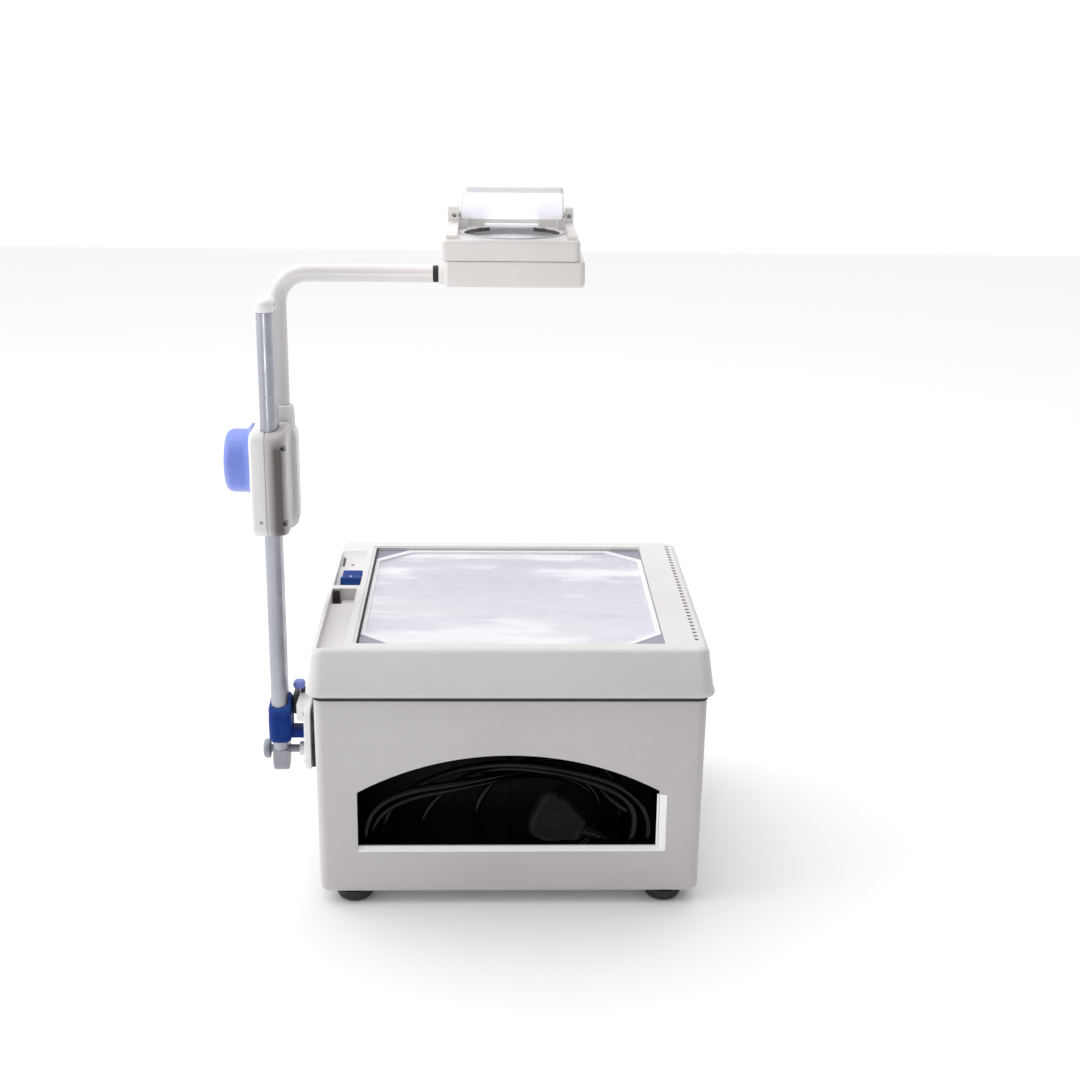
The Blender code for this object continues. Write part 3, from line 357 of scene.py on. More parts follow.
def make_light():
    world = bpy.data.worlds.new("studio")
    world.use_nodes = True
    nodes, links = world.node_tree.nodes, world.node_tree.links
    background = nodes["Background"]
    background.inputs["Color"].default_value = (0.985, 0.985, 1.0, 1)
    # A bright backdrop and ceiling, dimmer towards the room's front and right
    split = nodes.new("ShaderNodeSeparateXYZ")
    links.new(nodes.new("ShaderNodeTexCoord").outputs["Generated"], split.inputs[0])
    total = None
    for axis, low, high, dim, bright in (
        ("Y", -0.75, 0.45, FRONT_LIGHT, BACK_LIGHT), ("X", -0.95, -0.36, LEFT_LIGHT, 0.0),
        ("X", 0.36, 0.85, 0.0, RIGHT_LIGHT), ("Z", 0.35, 1.0, 0.0, TOP_LIGHT),
    ):
        part = map_range(world.node_tree, split.outputs[axis], low, high, dim, bright, "SMOOTHSTEP")
        if total is None:
            total = part
            continue
        add = nodes.new("ShaderNodeMath")
        links.new(total, add.inputs[0])
        links.new(part, add.inputs[1])
        total = add.outputs[0]
    # The backdrop itself is evenly white from every side
    seen = nodes.new("ShaderNodeMix")
    links.new(nodes.new("ShaderNodeLightPath").outputs["Is Camera Ray"], seen.inputs[0])
    links.new(total, seen.inputs[2])
    seen.inputs[3].default_value = BACKDROP
    links.new(seen.outputs[0], background.inputs["Strength"])
    bpy.context.scene.world = world
    bpy.context.scene.view_settings.view_transform = "Standard"
    lamp("top_softbox", (-0.45, 0.35, 2.3), (0, 0, 0.25), (1.9, 1.9), 14, (1.0, 0.99, 0.98))
    lamp("left_softbox", (-2.1, -0.5, 1.2), (0, 0, 0.3), (1.3, 1.6), 10, (0.96, 0.98, 1.0))
    head_fill = lamp("head_fill", (-0.15, -1.5, 0.42), (0.04, 0.0, 0.64), (0.5, 0.5), 0.17)
    head_fill.data.spread = radians(32)


# ---------------------------------------------------------------- materials


class Paint:
    """A procedural material: colour drift, grain, smudges and worn edges, all at real scale."""

    def __init__(self, name, colour, roughness, metallic=0.0, **sockets):
        self.material = bpy.data.materials.new(name)
        self.material.use_nodes = True
        self.tree = self.material.node_tree
        self.shader = self.tree.nodes["Principled BSDF"]
        self.shader.inputs["Metallic"].default_value = metallic
        for key, value in sockets.items():
            self.shader.inputs[key.replace("_", " ")].default_value = value
        self.where = self.tree.nodes.new("ShaderNodeTexCoord").outputs["Object"]
        self.colour = self.rgb(colour)
        self.rough = roughness
        self.rough_link = None
        self.normal = None

    def rgb(self, colour):
        node = self.tree.nodes.new("ShaderNodeRGB")
        node.outputs[0].default_value = (*colour, 1)
        return node.outputs[0]

    def noise(self, scale, detail=3.0, stretch=(1, 1, 1), roughness=0.55):
        mapping = self.tree.nodes.new("ShaderNodeMapping")
        mapping.inputs["Scale"].default_value = stretch
        self.tree.links.new(self.where, mapping.inputs["Vector"])
        node = self.tree.nodes.new("ShaderNodeTexNoise")
        node.inputs["Scale"].default_value = scale
        node.inputs["Detail"].default_value = detail
        node.inputs["Roughness"].default_value = roughness
        self.tree.links.new(mapping.outputs["Vector"], node.inputs["Vector"])
        return node.outputs["Fac"]

    def remap(self, value, low, high, to_low=0.0, to_high=1.0):
        return map_range(self.tree, value, low, high, to_low, to_high)

    def times(self, a, b):
        node = self.tree.nodes.new("ShaderNodeMath")
        node.operation = "MULTIPLY"
        self.tree.links.new(a, node.inputs[0])
        if isinstance(b, float):
            node.inputs[1].default_value = b
        else:
            self.tree.links.new(b, node.inputs[1])
        return node.outputs[0]

    def blend(self, factor, colour):
        """Mixes another colour over what is there."""
        node = self.tree.nodes.new("ShaderNodeMix")
        node.data_type = "RGBA"
        self.tree.links.new(factor, node.inputs[0])
        self.tree.links.new(self.colour, node.inputs[6])
        node.inputs[7].default_value = (*colour, 1)
        self.colour = node.outputs[2]
        return self

    def drift(self, colour, scale=5.0, amount=1.0):
        """Slow uneven tone, as in aged moulded plastic."""
        return self.blend(self.times(self.remap(self.noise(scale, 4), 0.38, 0.66), amount), colour)

    def speckle(self, colour, scale, low, high, amount=1.0, stretch=(1, 1, 1)):
        """Small marks where a noise passes a level."""
        return self.blend(
            self.times(self.remap(self.noise(scale, 5, stretch), low, high), amount), colour
        )

    def worn(self, colour, low=0.52, high=0.60, amount=0.5):
        """Lighter, rubbed convex edges, broken up by noise."""
        edge = self.tree.nodes.new("ShaderNodeNewGeometry").outputs["Pointiness"]
        edge = self.remap(edge, low, high)
        patch = self.remap(self.noise(60, 4), 0.35, 0.7)
        return self.blend(self.times(self.times(edge, patch), amount), colour)

    def dust(self, colour, amount=0.2):
        """A thin pale film on what faces up."""
        split = self.tree.nodes.new("ShaderNodeSeparateXYZ")
        normal = self.tree.nodes.new("ShaderNodeNewGeometry").outputs["Normal"]
        self.tree.links.new(normal, split.inputs[0])
        up = self.remap(split.outputs["Z"], 0.5, 1.0)
        patch = self.remap(self.noise(14, 6), 0.3, 0.75)
        return self.blend(self.times(self.times(up, patch), amount), colour)

    def smudge(self, spread=0.10, scale=24.0):
        """Uneven gloss, as finger marks and cleaning leave it."""
        self.rough_link = self.remap(
            self.noise(scale, 6), 0.3, 0.7, max(self.rough - spread, 0.02), self.rough + spread
        )
        return self

    def bump(self, scale, distance, strength=0.5, detail=4.0, stretch=(1, 1, 1)):
        """Relief from a noise, laid over any relief that is there."""
        return self.relief(self.noise(scale, detail, stretch), distance, strength)

    def relief(self, height, distance, strength=0.5):
        node = self.tree.nodes.new("ShaderNodeBump")
        node.inputs["Strength"].default_value = strength
        node.inputs["Distance"].default_value = distance
        self.tree.links.new(height, node.inputs["Height"])
        if self.normal:
            self.tree.links.new(self.normal, node.inputs["Normal"])
        self.normal = node.outputs["Normal"]
        return self

    def done(self):
        self.tree.links.new(self.colour, self.shader.inputs["Base Color"])
        self.shader.inputs["Roughness"].default_value = self.rough
        if self.rough_link:
            self.tree.links.new(self.rough_link, self.shader.inputs["Roughness"])
        if self.normal:
            self.tree.links.new(self.normal, self.shader.inputs["Normal"])
        return self.material


def make_shell_paint(name, colour, warm, roughness=0.46):
    paint = Paint(name, colour, roughness, Specular_IOR_Level=0.42)
    paint.drift(warm, 4.5, 0.8)
    paint.speckle([c * 0.86 for c in colour], 420, 0.66, 0.74, 0.35)
    paint.speckle([c * 0.72 for c in colour], 34, 0.70, 0.80, 0.22, (1, 1, 0.25))
    paint.worn([min(c * 1.12, 0.95) for c in colour], 0.51, 0.58, 0.45)
    paint.dust([min(c * 1.05, 0.95) for c in colour], 0.3)
    paint.smudge(0.08)
    paint.bump(1500, 0.00006, 0.35, 2)
    paint.bump(260, 0.00012, 0.22, 3)
    return paint.done()


def make_shaded_cheek_paint():
    """The carriage's right half: its plastic painted darker as painted shade, with a near-black
    painted shade band across the front that pales towards its seam, its outer edge, its top and its
    back.
    """
    paint = Paint("cheek_plastic", (0.60, 0.575, 0.56), 0.36, Specular_IOR_Level=0.5)
    paint.drift((0.54, 0.515, 0.50), 12, 0.8)
    split = paint.tree.nodes.new("ShaderNodeSeparateXYZ")
    paint.tree.links.new(paint.where, split.inputs[0])
    seam, outer = (at(x, 0, 0).x for x in (SEAM_X, CARRIAGE_X[1]))
    low = at(0, 0, CARRIAGE_Z[1]).z
    front = at(0, CARRIAGE_Y[0], 0).y
    rise = paint.remap(split.outputs["X"], seam + 0.0015, seam + 0.0095)
    fall = paint.remap(split.outputs["X"], outer - 0.0008, outer - 0.0045)
    below = paint.remap(split.outputs["Z"], low - 0.004, low - 0.016)
    ahead = paint.remap(split.outputs["Y"], front + 0.026, front + 0.012)
    # A near-black painted shade band across the right half's front
    shade_band = paint.times(paint.times(rise, fall), paint.times(below, ahead))
    paint.blend(paint.times(shade_band, 0.92), (0.085, 0.075, 0.068))
    paint.worn((0.70, 0.68, 0.66), 0.52, 0.58, 0.5).smudge(0.08)
    return paint.bump(1500, 0.00006, 0.35, 2).done()


def make_paints():
    """Every material of the object, by name."""
    made = {}
    made["shell"] = make_shell_paint("shell_plastic", (0.68, 0.655, 0.645), (0.63, 0.60, 0.585))
    made["lid"] = make_shell_paint("lid_plastic", (0.73, 0.71, 0.70), (0.69, 0.665, 0.65))
    # The head's plastic is painted paler than the body's shell, standing in for the stronger light
    # on the raised head
    made["head"] = make_shell_paint("head_plastic_painted_light", (0.80, 0.775, 0.755), (0.76, 0.73, 0.70), 0.42)
    made["carriage"] = make_shell_paint(
        "carriage_plastic", (0.90, 0.89, 0.885), (0.86, 0.845, 0.835), 0.40
    )
    made["cheek"] = make_shaded_cheek_paint()

    tube = Paint("painted_tube", (0.80, 0.77, 0.76), 0.32, Coat_Weight=0.25, Coat_Roughness=0.2)
    tube.drift((0.74, 0.71, 0.69), 9, 0.7).speckle((0.42, 0.40, 0.39), 120, 0.72, 0.8, 0.5)
    tube.smudge(0.07).bump(700, 0.00008, 0.35)
    made["tube"] = tube.done()

    post = Paint("post_aluminium", (0.46, 0.47, 0.51), 0.34, 0.8)
    post.drift((0.36, 0.37, 0.41), 12, 0.7)
    post.speckle((0.62, 0.63, 0.66), 9, 0.60, 0.78, 0.35, (60, 60, 1))
    post.smudge(0.09, 40).bump(10, 0.00005, 0.4, 3, (160, 160, 1))
    made["post"] = post.done()

    foot = Paint("post_foot_grey", (0.30, 0.305, 0.345), 0.42, 0.35)
    foot.drift((0.33, 0.34, 0.37), 20, 0.8).worn((0.62, 0.63, 0.66), 0.51, 0.58, 0.6).smudge(0.08)
    made["foot_grey"] = foot.bump(900, 0.00006, 0.35).done()

    blue = Paint("blue_plastic", (0.004, 0.034, 0.235), 0.50, Specular_IOR_Level=0.14)
    blue.drift((0.003, 0.022, 0.16), 26, 0.7).worn((0.07, 0.22, 0.62), 0.515, 0.57, 0.75)
    blue.speckle((0.015, 0.09, 0.38), 260, 0.66, 0.74, 0.4).smudge(0.07, 50)
    made["blue"] = blue.bump(1200, 0.00005, 0.35).done()

    knob = Paint(
        "knob_plastic", (0.185, 0.26, 0.72), 0.36, Subsurface_Weight=0.06, Specular_IOR_Level=0.5
    )
    knob.drift((0.21, 0.29, 0.77), 22, 0.9).worn((0.50, 0.60, 0.97), 0.51, 0.57, 0.6)
    knob.smudge(0.07, 55).bump(1100, 0.00005, 0.35)
    made["knob"] = knob.done()

    # Near-black foam; as the lid seal it is a painted shadow line under the lid's edge
    seal = Paint("seal_foam", (0.030, 0.028, 0.030), 0.8)
    seal.drift((0.045, 0.043, 0.045), 60, 0.8)
    made["seal"] = seal.smudge(0.08, 60).bump(1500, 0.0001, 0.5).done()

    gasket = Paint("gasket_grey", (0.115, 0.105, 0.100), 0.7)
    gasket.drift((0.12, 0.115, 0.115), 50, 0.8).speckle((0.20, 0.19, 0.19), 300, 0.68, 0.76, 0.4)
    made["gasket"] = gasket.smudge(0.08, 60).bump(1500, 0.0001, 0.5).done()

    rubber = Paint("rubber", (0.012, 0.012, 0.014), 0.62)
    rubber.drift((0.022, 0.021, 0.021), 40, 0.8).speckle((0.05, 0.048, 0.045), 300, 0.68, 0.76, 0.5)
    made["rubber"] = rubber.smudge(0.1, 60).bump(1400, 0.0001, 0.5).done()

    jacket = Paint("cord_jacket", (0.0020, 0.0020, 0.0030), 0.16, Specular_IOR_Level=0.20)
    jacket.drift((0.006, 0.006, 0.008), 30, 0.8).speckle((0.04, 0.04, 0.045), 500, 0.70, 0.78, 0.4)
    made["jacket"] = jacket.smudge(0.07, 45).bump(900, 0.00006, 0.35).done()

    plug = Paint("plug_moulding", (0.0048, 0.0042, 0.0060), 0.5, Specular_IOR_Level=0.10)
    plug.drift((0.003, 0.0027, 0.0039), 45, 0.9).worn((0.05, 0.045, 0.055), 0.51, 0.57, 0.5)
    plug.speckle((0.018, 0.016, 0.020), 320, 0.64, 0.74, 0.5).smudge(0.1, 60)
    made["plug"] = plug.bump(1300, 0.00009, 0.5).done()

    brass = Paint("pin_brass", (0.72, 0.52, 0.24), 0.28, 1.0)
    brass.drift((0.55, 0.40, 0.20), 90, 0.8).smudge(0.08, 80)
    made["brass"] = brass.bump(60, 0.00004, 0.4, 3, (1, 12, 1)).done()

    black = Paint("black_plastic", (0.016, 0.016, 0.018), 0.45)
    black.drift((0.028, 0.027, 0.027), 30, 0.7).worn((0.10, 0.10, 0.10), 0.52, 0.58, 0.5)
    made["black"] = black.smudge(0.1, 50).bump(1200, 0.00007, 0.4).done()

    # Near-black: partly the compartment's dark moulding, partly painted shade for its depth
    liner = Paint("liner_plastic", (0.020, 0.016, 0.015), 0.66, Specular_IOR_Level=0.2)
    liner.drift((0.010, 0.008, 0.0075), 16, 0.9).speckle((0.05, 0.042, 0.038), 90, 0.64, 0.76, 0.4)
    made["liner"] = liner.dust((0.05, 0.045, 0.042), 0.3).smudge(0.1).bump(800, 0.0001, 0.45).done()

    steel = Paint("sheet_steel", (0.55, 0.55, 0.56), 0.34, 1.0)
    steel.drift((0.44, 0.44, 0.46), 20, 0.8).speckle((0.36, 0.27, 0.20), 160, 0.72, 0.82, 0.4)
    made["steel"] = steel.smudge(0.1, 30).bump(14, 0.00005, 0.4, 3, (90, 1, 1)).done()

    screw = Paint("screw_black", (0.030, 0.029, 0.030), 0.34, 0.9)
    screw.drift((0.06, 0.06, 0.06), 200, 0.8).smudge(0.1, 200)
    made["screw"] = screw.bump(1500, 0.00004, 0.4).done()

    mask = Paint("mask_grey", (0.235, 0.225, 0.30), 0.5)
    mask.drift((0.19, 0.185, 0.25), 18, 0.8).speckle((0.32, 0.31, 0.36), 300, 0.66, 0.76, 0.4)
    made["mask"] = mask.smudge(0.08).bump(1000, 0.00006, 0.35).done()

    trim = Paint("mask_trim_white", (0.93, 0.93, 0.94), 0.38)
    trim.drift((0.88, 0.88, 0.90), 20, 0.7).worn((0.92, 0.92, 0.93), 0.51, 0.57, 0.5)
    made["trim"] = trim.smudge(0.08).bump(900, 0.00006, 0.35).done()

    # A pale white that glows faintly: a painted highlight for the lit edges of the mouth and for
    # the head's ledge
    lip = Paint(
        "lip_painted_glow", (0.93, 0.925, 0.92), 0.4, Emission_Color=(1, 0.99, 0.98, 1),
        Emission_Strength=0.16,
    )
    lip.drift((0.89, 0.88, 0.87), 24, 0.7).speckle((0.80, 0.79, 0.78), 300, 0.68, 0.78, 0.3)
    made["lip"] = lip.smudge(0.08).bump(900, 0.00006, 0.35).done()

    back = Paint("mirror_back_plastic", (0.90, 0.905, 0.925), 0.34)
    back.drift((0.86, 0.865, 0.89), 10, 0.8).speckle((0.60, 0.60, 0.62), 200, 0.70, 0.78, 0.3)
    back.worn((0.90, 0.90, 0.92), 0.51, 0.57, 0.5)
    made["mirror_back"] = back.smudge(0.07).bump(1300, 0.00006, 0.35).done()

    pilot = Paint("pilot_lens", (0.36, 0.20, 0.13), 0.25, Transmission_Weight=0.2)
    pilot.drift((0.28, 0.14, 0.09), 300, 0.8)
    made["pilot"] = pilot.smudge(0.06, 300).bump(2000, 0.00003, 0.3).done()

    ceramic = Paint("ceramic_white", (0.80, 0.78, 0.72), 0.55)
    ceramic.drift((0.70, 0.66, 0.58), 50, 0.8).speckle((0.5, 0.45, 0.38), 260, 0.68, 0.78, 0.4)
    made["ceramic"] = ceramic.smudge(0.1).bump(900, 0.0001, 0.5).done()

    # The coat glows faintly: a painted reflection of the bright lens and stage below it
    mirror = Paint(
        "mirror_coat", (0.94, 0.945, 0.975), 0.42, 0.30, Emission_Color=(0.93, 0.94, 1.0, 1),
        Emission_Strength=0.33,
    )
    mirror.speckle((0.84, 0.85, 0.90), 60, 0.66, 0.8, 0.3)
    mirror.rough_link = mirror.remap(mirror.noise(30, 6), 0.35, 0.75, 0.36, 0.50)
    made["mirror"] = mirror.bump(25, 0.00002, 0.2).done()

    glass = Paint("clear_glass", (0.90, 0.905, 0.94), 0.05, Alpha=0.12, IOR=1.5)
    glass.speckle((0.97, 0.97, 0.98), 13, 0.56, 0.70, 0.5).drift((0.84, 0.845, 0.92), 7, 0.5)
    glass.rough_link = glass.remap(glass.noise(22, 6), 0.4, 0.75, 0.03, 0.12)
    made["glass"] = glass.bump(40, 0.00002, 0.15).done()

    # A nearly opaque pale blue-white with a faint glow: a painted reflection of the bright room on
    # the lens, and painted light where the mirror shades it
    lens = Paint(
        "lens_glass_painted_glow", (0.93, 0.935, 0.985), 0.04, Alpha=0.80, IOR=1.5,
        Emission_Color=(0.93, 0.94, 1.0, 1), Emission_Strength=0.12,
    )
    lens.drift((0.82, 0.83, 0.93), 24, 0.6)
    lens.rough_link = lens.remap(lens.noise(40, 6), 0.4, 0.75, 0.03, 0.10)
    made["lens"] = lens.bump(60, 0.00002, 0.15).done()

    bulb = Paint("lamp_quartz", (0.97, 0.97, 0.98), 0.04, Transmission_Weight=0.9, IOR=1.46)
    bulb.speckle((0.75, 0.73, 0.70), 180, 0.6, 0.75, 0.3).smudge(0.03, 90)
    made["bulb"] = bulb.bump(300, 0.00003, 0.2).done()
    made["fresnel"] = make_fresnel_paint()
    return made


def make_fresnel_paint():
    """Milky acrylic with fine concentric grooves, soft pale clouds and a painted sheen on its front
    left.
    """
    low, high = (Vector(corner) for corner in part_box("fresnel_lens"))
    middle = (low + high) / 2
    paint = Paint("fresnel_acrylic", (0.60, 0.60, 0.66), 0.30, Specular_IOR_Level=0.4)
    paint.drift((0.665, 0.665, 0.72), 5.5, 0.9)
    centred = paint.tree.nodes.new("ShaderNodeMapping")
    centred.inputs["Location"].default_value = (-middle.x, -middle.y, 0)
    centred.inputs["Scale"].default_value = (1, 1, 0)
    paint.tree.links.new(paint.where, centred.inputs["Vector"])
    wave = paint.tree.nodes.new("ShaderNodeTexWave")
    wave.wave_type = "RINGS"
    wave.rings_direction = "SPHERICAL"
    wave.inputs["Scale"].default_value = 330
    wave.inputs["Distortion"].default_value = 0.0
    paint.tree.links.new(centred.outputs["Vector"], wave.inputs["Vector"])
    paint.blend(paint.remap(wave.outputs["Fac"], 0.0, 1.0, 0.0, 0.16), (0.58, 0.58, 0.66))
    # A painted sheen that pales the front left, as light from the left gleams on it; then soft pale
    # and darker streaks
    split = paint.tree.nodes.new("ShaderNodeSeparateXYZ")
    paint.tree.links.new(centred.outputs["Vector"], split.inputs[0])
    near = paint.remap(split.outputs["Y"], 0.05, -0.12)
    left = paint.remap(split.outputs["X"], 0.14, -0.10, 0.35, 1.0)
    paint.blend(paint.times(paint.times(near, left), 0.92), (0.93, 0.93, 0.945))
    paint.blend(
        paint.times(paint.remap(paint.noise(7, 5, (0.8, 2.6, 1)), 0.52, 0.60), 0.95),
        (0.93, 0.93, 0.95),
    )
    paint.blend(
        paint.times(paint.remap(paint.noise(9, 4, (0.7, 3.2, 1)), 0.46, 0.38), 0.45),
        (0.52, 0.52, 0.60),
    )
    paint.smudge(0.1, 16)
    return paint.relief(wave.outputs["Fac"], 0.00012, 0.35).done()


# ---------------------------------------------------------------- mains cord and plug

CORD_D = 0.0068
GLAND = (0.124, 0.0765, 0.080)
GLAND_LENGTH = 0.025
PLUG_CENTRE = (0.045, 0.0140, 0.0840)
PLUG_TURN = radians(65)
PLUG_THICK = 0.019
NICHE_HALF = 0.143
NICHE_BOTTOM = 0.0605
NICHE_SHOULDER = 0.117
NICHE_PEAK = 0.155
NICHE_BACK = 0.076
NICHE_FLOOR = 0.0180
CORD_FLOOR = NICHE_FLOOR + CORD_D / 2
PANEL_BACK = 0.0056
ROUTE_STEP = 0.0058
FIRST_RISE = 0.015
HUMP_MIDDLE = -0.025
HUMP_SPREAD = 0.045
HELD_FIRST = 8
HELD_LAST = 7
NEIGHBOURS = 5
NICHE_RISE = NICHE_PEAK - NICHE_SHOULDER
NICHE_RADIUS = (NICHE_HALF**2 + NICHE_RISE**2) / (2 * NICHE_RISE)
NICHE_CENTRE = NICHE_PEAK - NICHE_RADIUS

# The cord's two free ends, as in the CAD
LEAD = [
    (0.1240, 0.0498, 0.0800), (0.1240, 0.0450, 0.0800), (0.1210, 0.0310, 0.0823),
    (0.1129, 0.0208, 0.0885), (0.1018, 0.0170, 0.0970), (0.0906, 0.0208, 0.1055),
    (0.0825, 0.0310, 0.1117), (0.0798, 0.0420, 0.1138), (0.0805, 0.0520, 0.1135),
    (0.0835, 0.0615, 0.1090), (0.0880, 0.0675, 0.0995), (0.0912, 0.0692, 0.0850),
    (0.0920, 0.0692, 0.0700),
]
TAIL = [
    (0.0450, 0.0685, 0.1210), (0.0700, 0.0695, 0.1195), (0.0880, 0.0697, 0.1150),
    (0.1000, 0.0690, 0.1045), (0.1068, 0.0655, 0.0900), (0.1085, 0.0595, 0.0765),
    (0.1080, 0.0520, 0.0625), (0.1077, 0.0430, 0.0570), (0.1070, 0.0318, 0.0560),
    (0.1050, 0.0260, 0.0565), (0.1017, 0.0210, 0.0578), (0.0975, 0.0172, 0.0597),
    (0.0926, 0.0149, 0.0620),
]

# Each turn: its left end (x, y, z), its top (x, z), its right end (x, y, z), the squareness of
# its two shoulders, the two x between which it crosses the depth, and the rise of the run on
# the floor that comes after it
TURNS = [
    (
        (-0.1380, 0.0155, 0.060), (-0.010, 0.1180), (0.0900, 0.0540, 0.062), 3.0, 3.0,
        (-0.070, 0.045), 0.0075,
    ),
    (
        (-0.1330, 0.0230, 0.056), (-0.010, 0.1100), (0.0900, 0.0615, 0.062), 2.6, 2.6,
        (-0.070, 0.045), 0.0075,
    ),
    (
        (-0.1220, 0.0310, 0.062), (0.005, 0.1330), (0.1345, 0.0145, 0.070), 2.0, 2.4,
        (-0.010, 0.095), 0.0075,
    ),
    (
        (-0.0875, 0.0390, 0.050), (0.005, 0.1255), (0.1200, 0.0140, 0.078), 2.0, 3.0,
        (-0.010, 0.100), 0.0,
    ),
    ((-0.0340, 0.0470, 0.068), (0.020, 0.1200), None, 2.0, 2.0, (-0.030, 0.040), 0.0),
]


def ease(t):
    t = min(max(t, 0.0), 1.0)
    return t * t * (3 - 2 * t)


def smooth_route(points, step):
    """Evenly spaced points on a Catmull-Rom curve through the route's own points."""
    knots = [Vector(p) for p in points]
    knots = [2 * knots[0] - knots[1]] + knots + [2 * knots[-1] - knots[-2]]
    fine = []
    for a, b, c, d in zip(knots, knots[1:], knots[2:], knots[3:]):
        for i in range(24):
            t = i / 24
            bend = (2 * a - 5 * b + 4 * c - d) * t**2
            twist = (3 * b - a - 3 * c + d) * t**3
            fine.append(0.5 * (2 * b + (c - a) * t + bend + twist))
    fine.append(knots[-2])
    total = sum((q - p).length for p, q in zip(fine, fine[1:]))
    count = max(2, round(total / step))
    route = [fine[0]]
    run = 0.0
    for p, q in zip(fine, fine[1:]):
        run += (q - p).length
        if run >= total * len(route) / count and len(route) < count:
            route.append(q)
    return route + [fine[-1]]


def over_top(turn, steps=10):
    """A turn's way up its left end, over its top and out to its right end."""
    (x_left, y_left, z_left), (x_top, z_top), right, *powers, (start, stop), _ = turn
    left_power, right_power = powers
    x_right, y_right, z_right = right if right else (TAIL[0][0] + 0.03, TAIL[0][1], z_top - 0.001)
    points = []
    for i in range(steps + 1):
        angle = pi / 2 * i / steps
        across = cos(angle) ** (2 / left_power)
        up = sin(angle) ** (2 / left_power)
        points.append((x_top - (x_top - x_left) * across, z_left + (z_top - z_left) * up))
    if right:
        for i in range(1, steps + 1):
            angle = pi / 2 * (1 - i / steps)
            across = cos(angle) ** (2 / right_power)
            up = sin(angle) ** (2 / right_power)
            points.append((x_top + (x_right - x_top) * across, z_right + (z_top - z_right) * up))
    return [
        (x, y_left + (y_right - y_left) * ease((x - start) / (stop - start)), z) for x, z in points
    ]


def along_floor(right, left, rise, steps=8):
    """From a turn's right end down, along the floor and up to the next turn's left end."""
    x_right, y_right, z_right = right
    x_left, y_left, z_left = left
    radius = z_right - CORD_FLOOR
    other = z_left - CORD_FLOOR
    points = []
    for i in range(1, 6):
        angle = pi / 2 * i / 5
        points.append((x_right - radius * (1 - cos(angle)), z_right - radius * sin(angle)))
    low, high = x_left + other, x_right - radius
    for i in range(1, steps):
        points.append((high + (low - high) * i / steps, CORD_FLOOR))
    for i in range(5):
        angle = pi / 2 * (1 - i / 5)
        points.append((x_left + other * (1 - cos(angle)), z_left - other * sin(angle)))
    run = []
    for x, z in points:
        share = ease((high - x) / (high - low))
        lift = rise * exp(-(((x - HUMP_MIDDLE) / HUMP_SPREAD) ** 2))
        run.append((x, y_right + (y_left - y_right) * share, max(z, CORD_FLOOR + lift)))
    return run


def arch_height(x):
    return NICHE_CENTRE + (NICHE_RADIUS**2 - np.minimum(np.abs(x), NICHE_HALF) ** 2) ** 0.5


def settle(points, rounds=260):
    """Lets the turns push each other apart inside the compartment, without stretching the cord."""
    place = np.array([tuple(p) for p in points])
    aim = place.copy()
    count = len(place)
    step = np.linalg.norm(np.diff(place, axis=0), axis=1).mean()
    index = np.arange(count)
    apart = np.abs(index[:, None] - index[None, :]) > NEIGHBOURS
    free = np.ones(count)
    free[:HELD_FIRST] = 0.0
    free[-HELD_LAST:] = 0.0
    gap = CORD_D * 1.02
    reach = CORD_D / 2 + 0.0003
    for turn in range(rounds):
        ease_off = 0.05 if turn < rounds * 0.6 else 0.01
        move = ease_off * (aim - place)
        move[1:-1] += 0.12 * ((place[:-2] + place[2:]) / 2 - place[1:-1])
        between = place[:, None, :] - place[None, :, :]
        distance = np.sqrt((between**2).sum(axis=2)) + 1e-9
        push = np.where(apart & (distance < gap), (gap - distance) / distance, 0.0)
        move += 0.45 * (push[:, :, None] * between).sum(axis=1)
        place = place + move * free[:, None]
        for parity in (0, 1):
            ahead = place[parity + 1 :: 2]
            link = ahead - place[parity : count - 1 : 2][: len(ahead)]
            length = np.linalg.norm(link, axis=1)
            fix = 0.4 * (length - step)[:, None] * link / length[:, None]
            first = index[parity : count - 1 : 2][: len(link)]
            place[first] += fix * free[first][:, None]
            place[first + 1] -= fix * free[first + 1][:, None]
        inner = free > 0
        place[inner, 0] = np.clip(place[inner, 0], -NICHE_HALF + reach, NICHE_HALF - reach)
        place[inner, 1] = np.clip(place[inner, 1], PANEL_BACK + reach, NICHE_BACK - reach)
        top = arch_height(place[:, 0]) - reach
        place[inner, 2] = np.clip(place[inner, 2], CORD_FLOOR, top[inner])
    return [Vector(p) for p in place]


def plug_point(across, along):
    """A point of the turned plug's plane as (x, z). Its cord leaves at negative along."""
    x, _, z = PLUG_CENTRE
    return (
        x + across * cos(PLUG_TURN) - along * sin(PLUG_TURN),
        z + across * sin(PLUG_TURN) + along * cos(PLUG_TURN),
    )


def cord_route():
    points = list(LEAD)
    right = LEAD[-1]
    rise = FIRST_RISE
    for turn in TURNS:
        points += along_floor(right, turn[0], rise)
        points += over_top(turn)
        right = turn[2]
        rise = turn[6]
    end = plug_point(0, -0.046)
    points += TAIL + [(end[0] + 0.0006, PLUG_CENTRE[1], end[1] - 0.0003)]
    return settle(smooth_route(points, ROUTE_STEP))


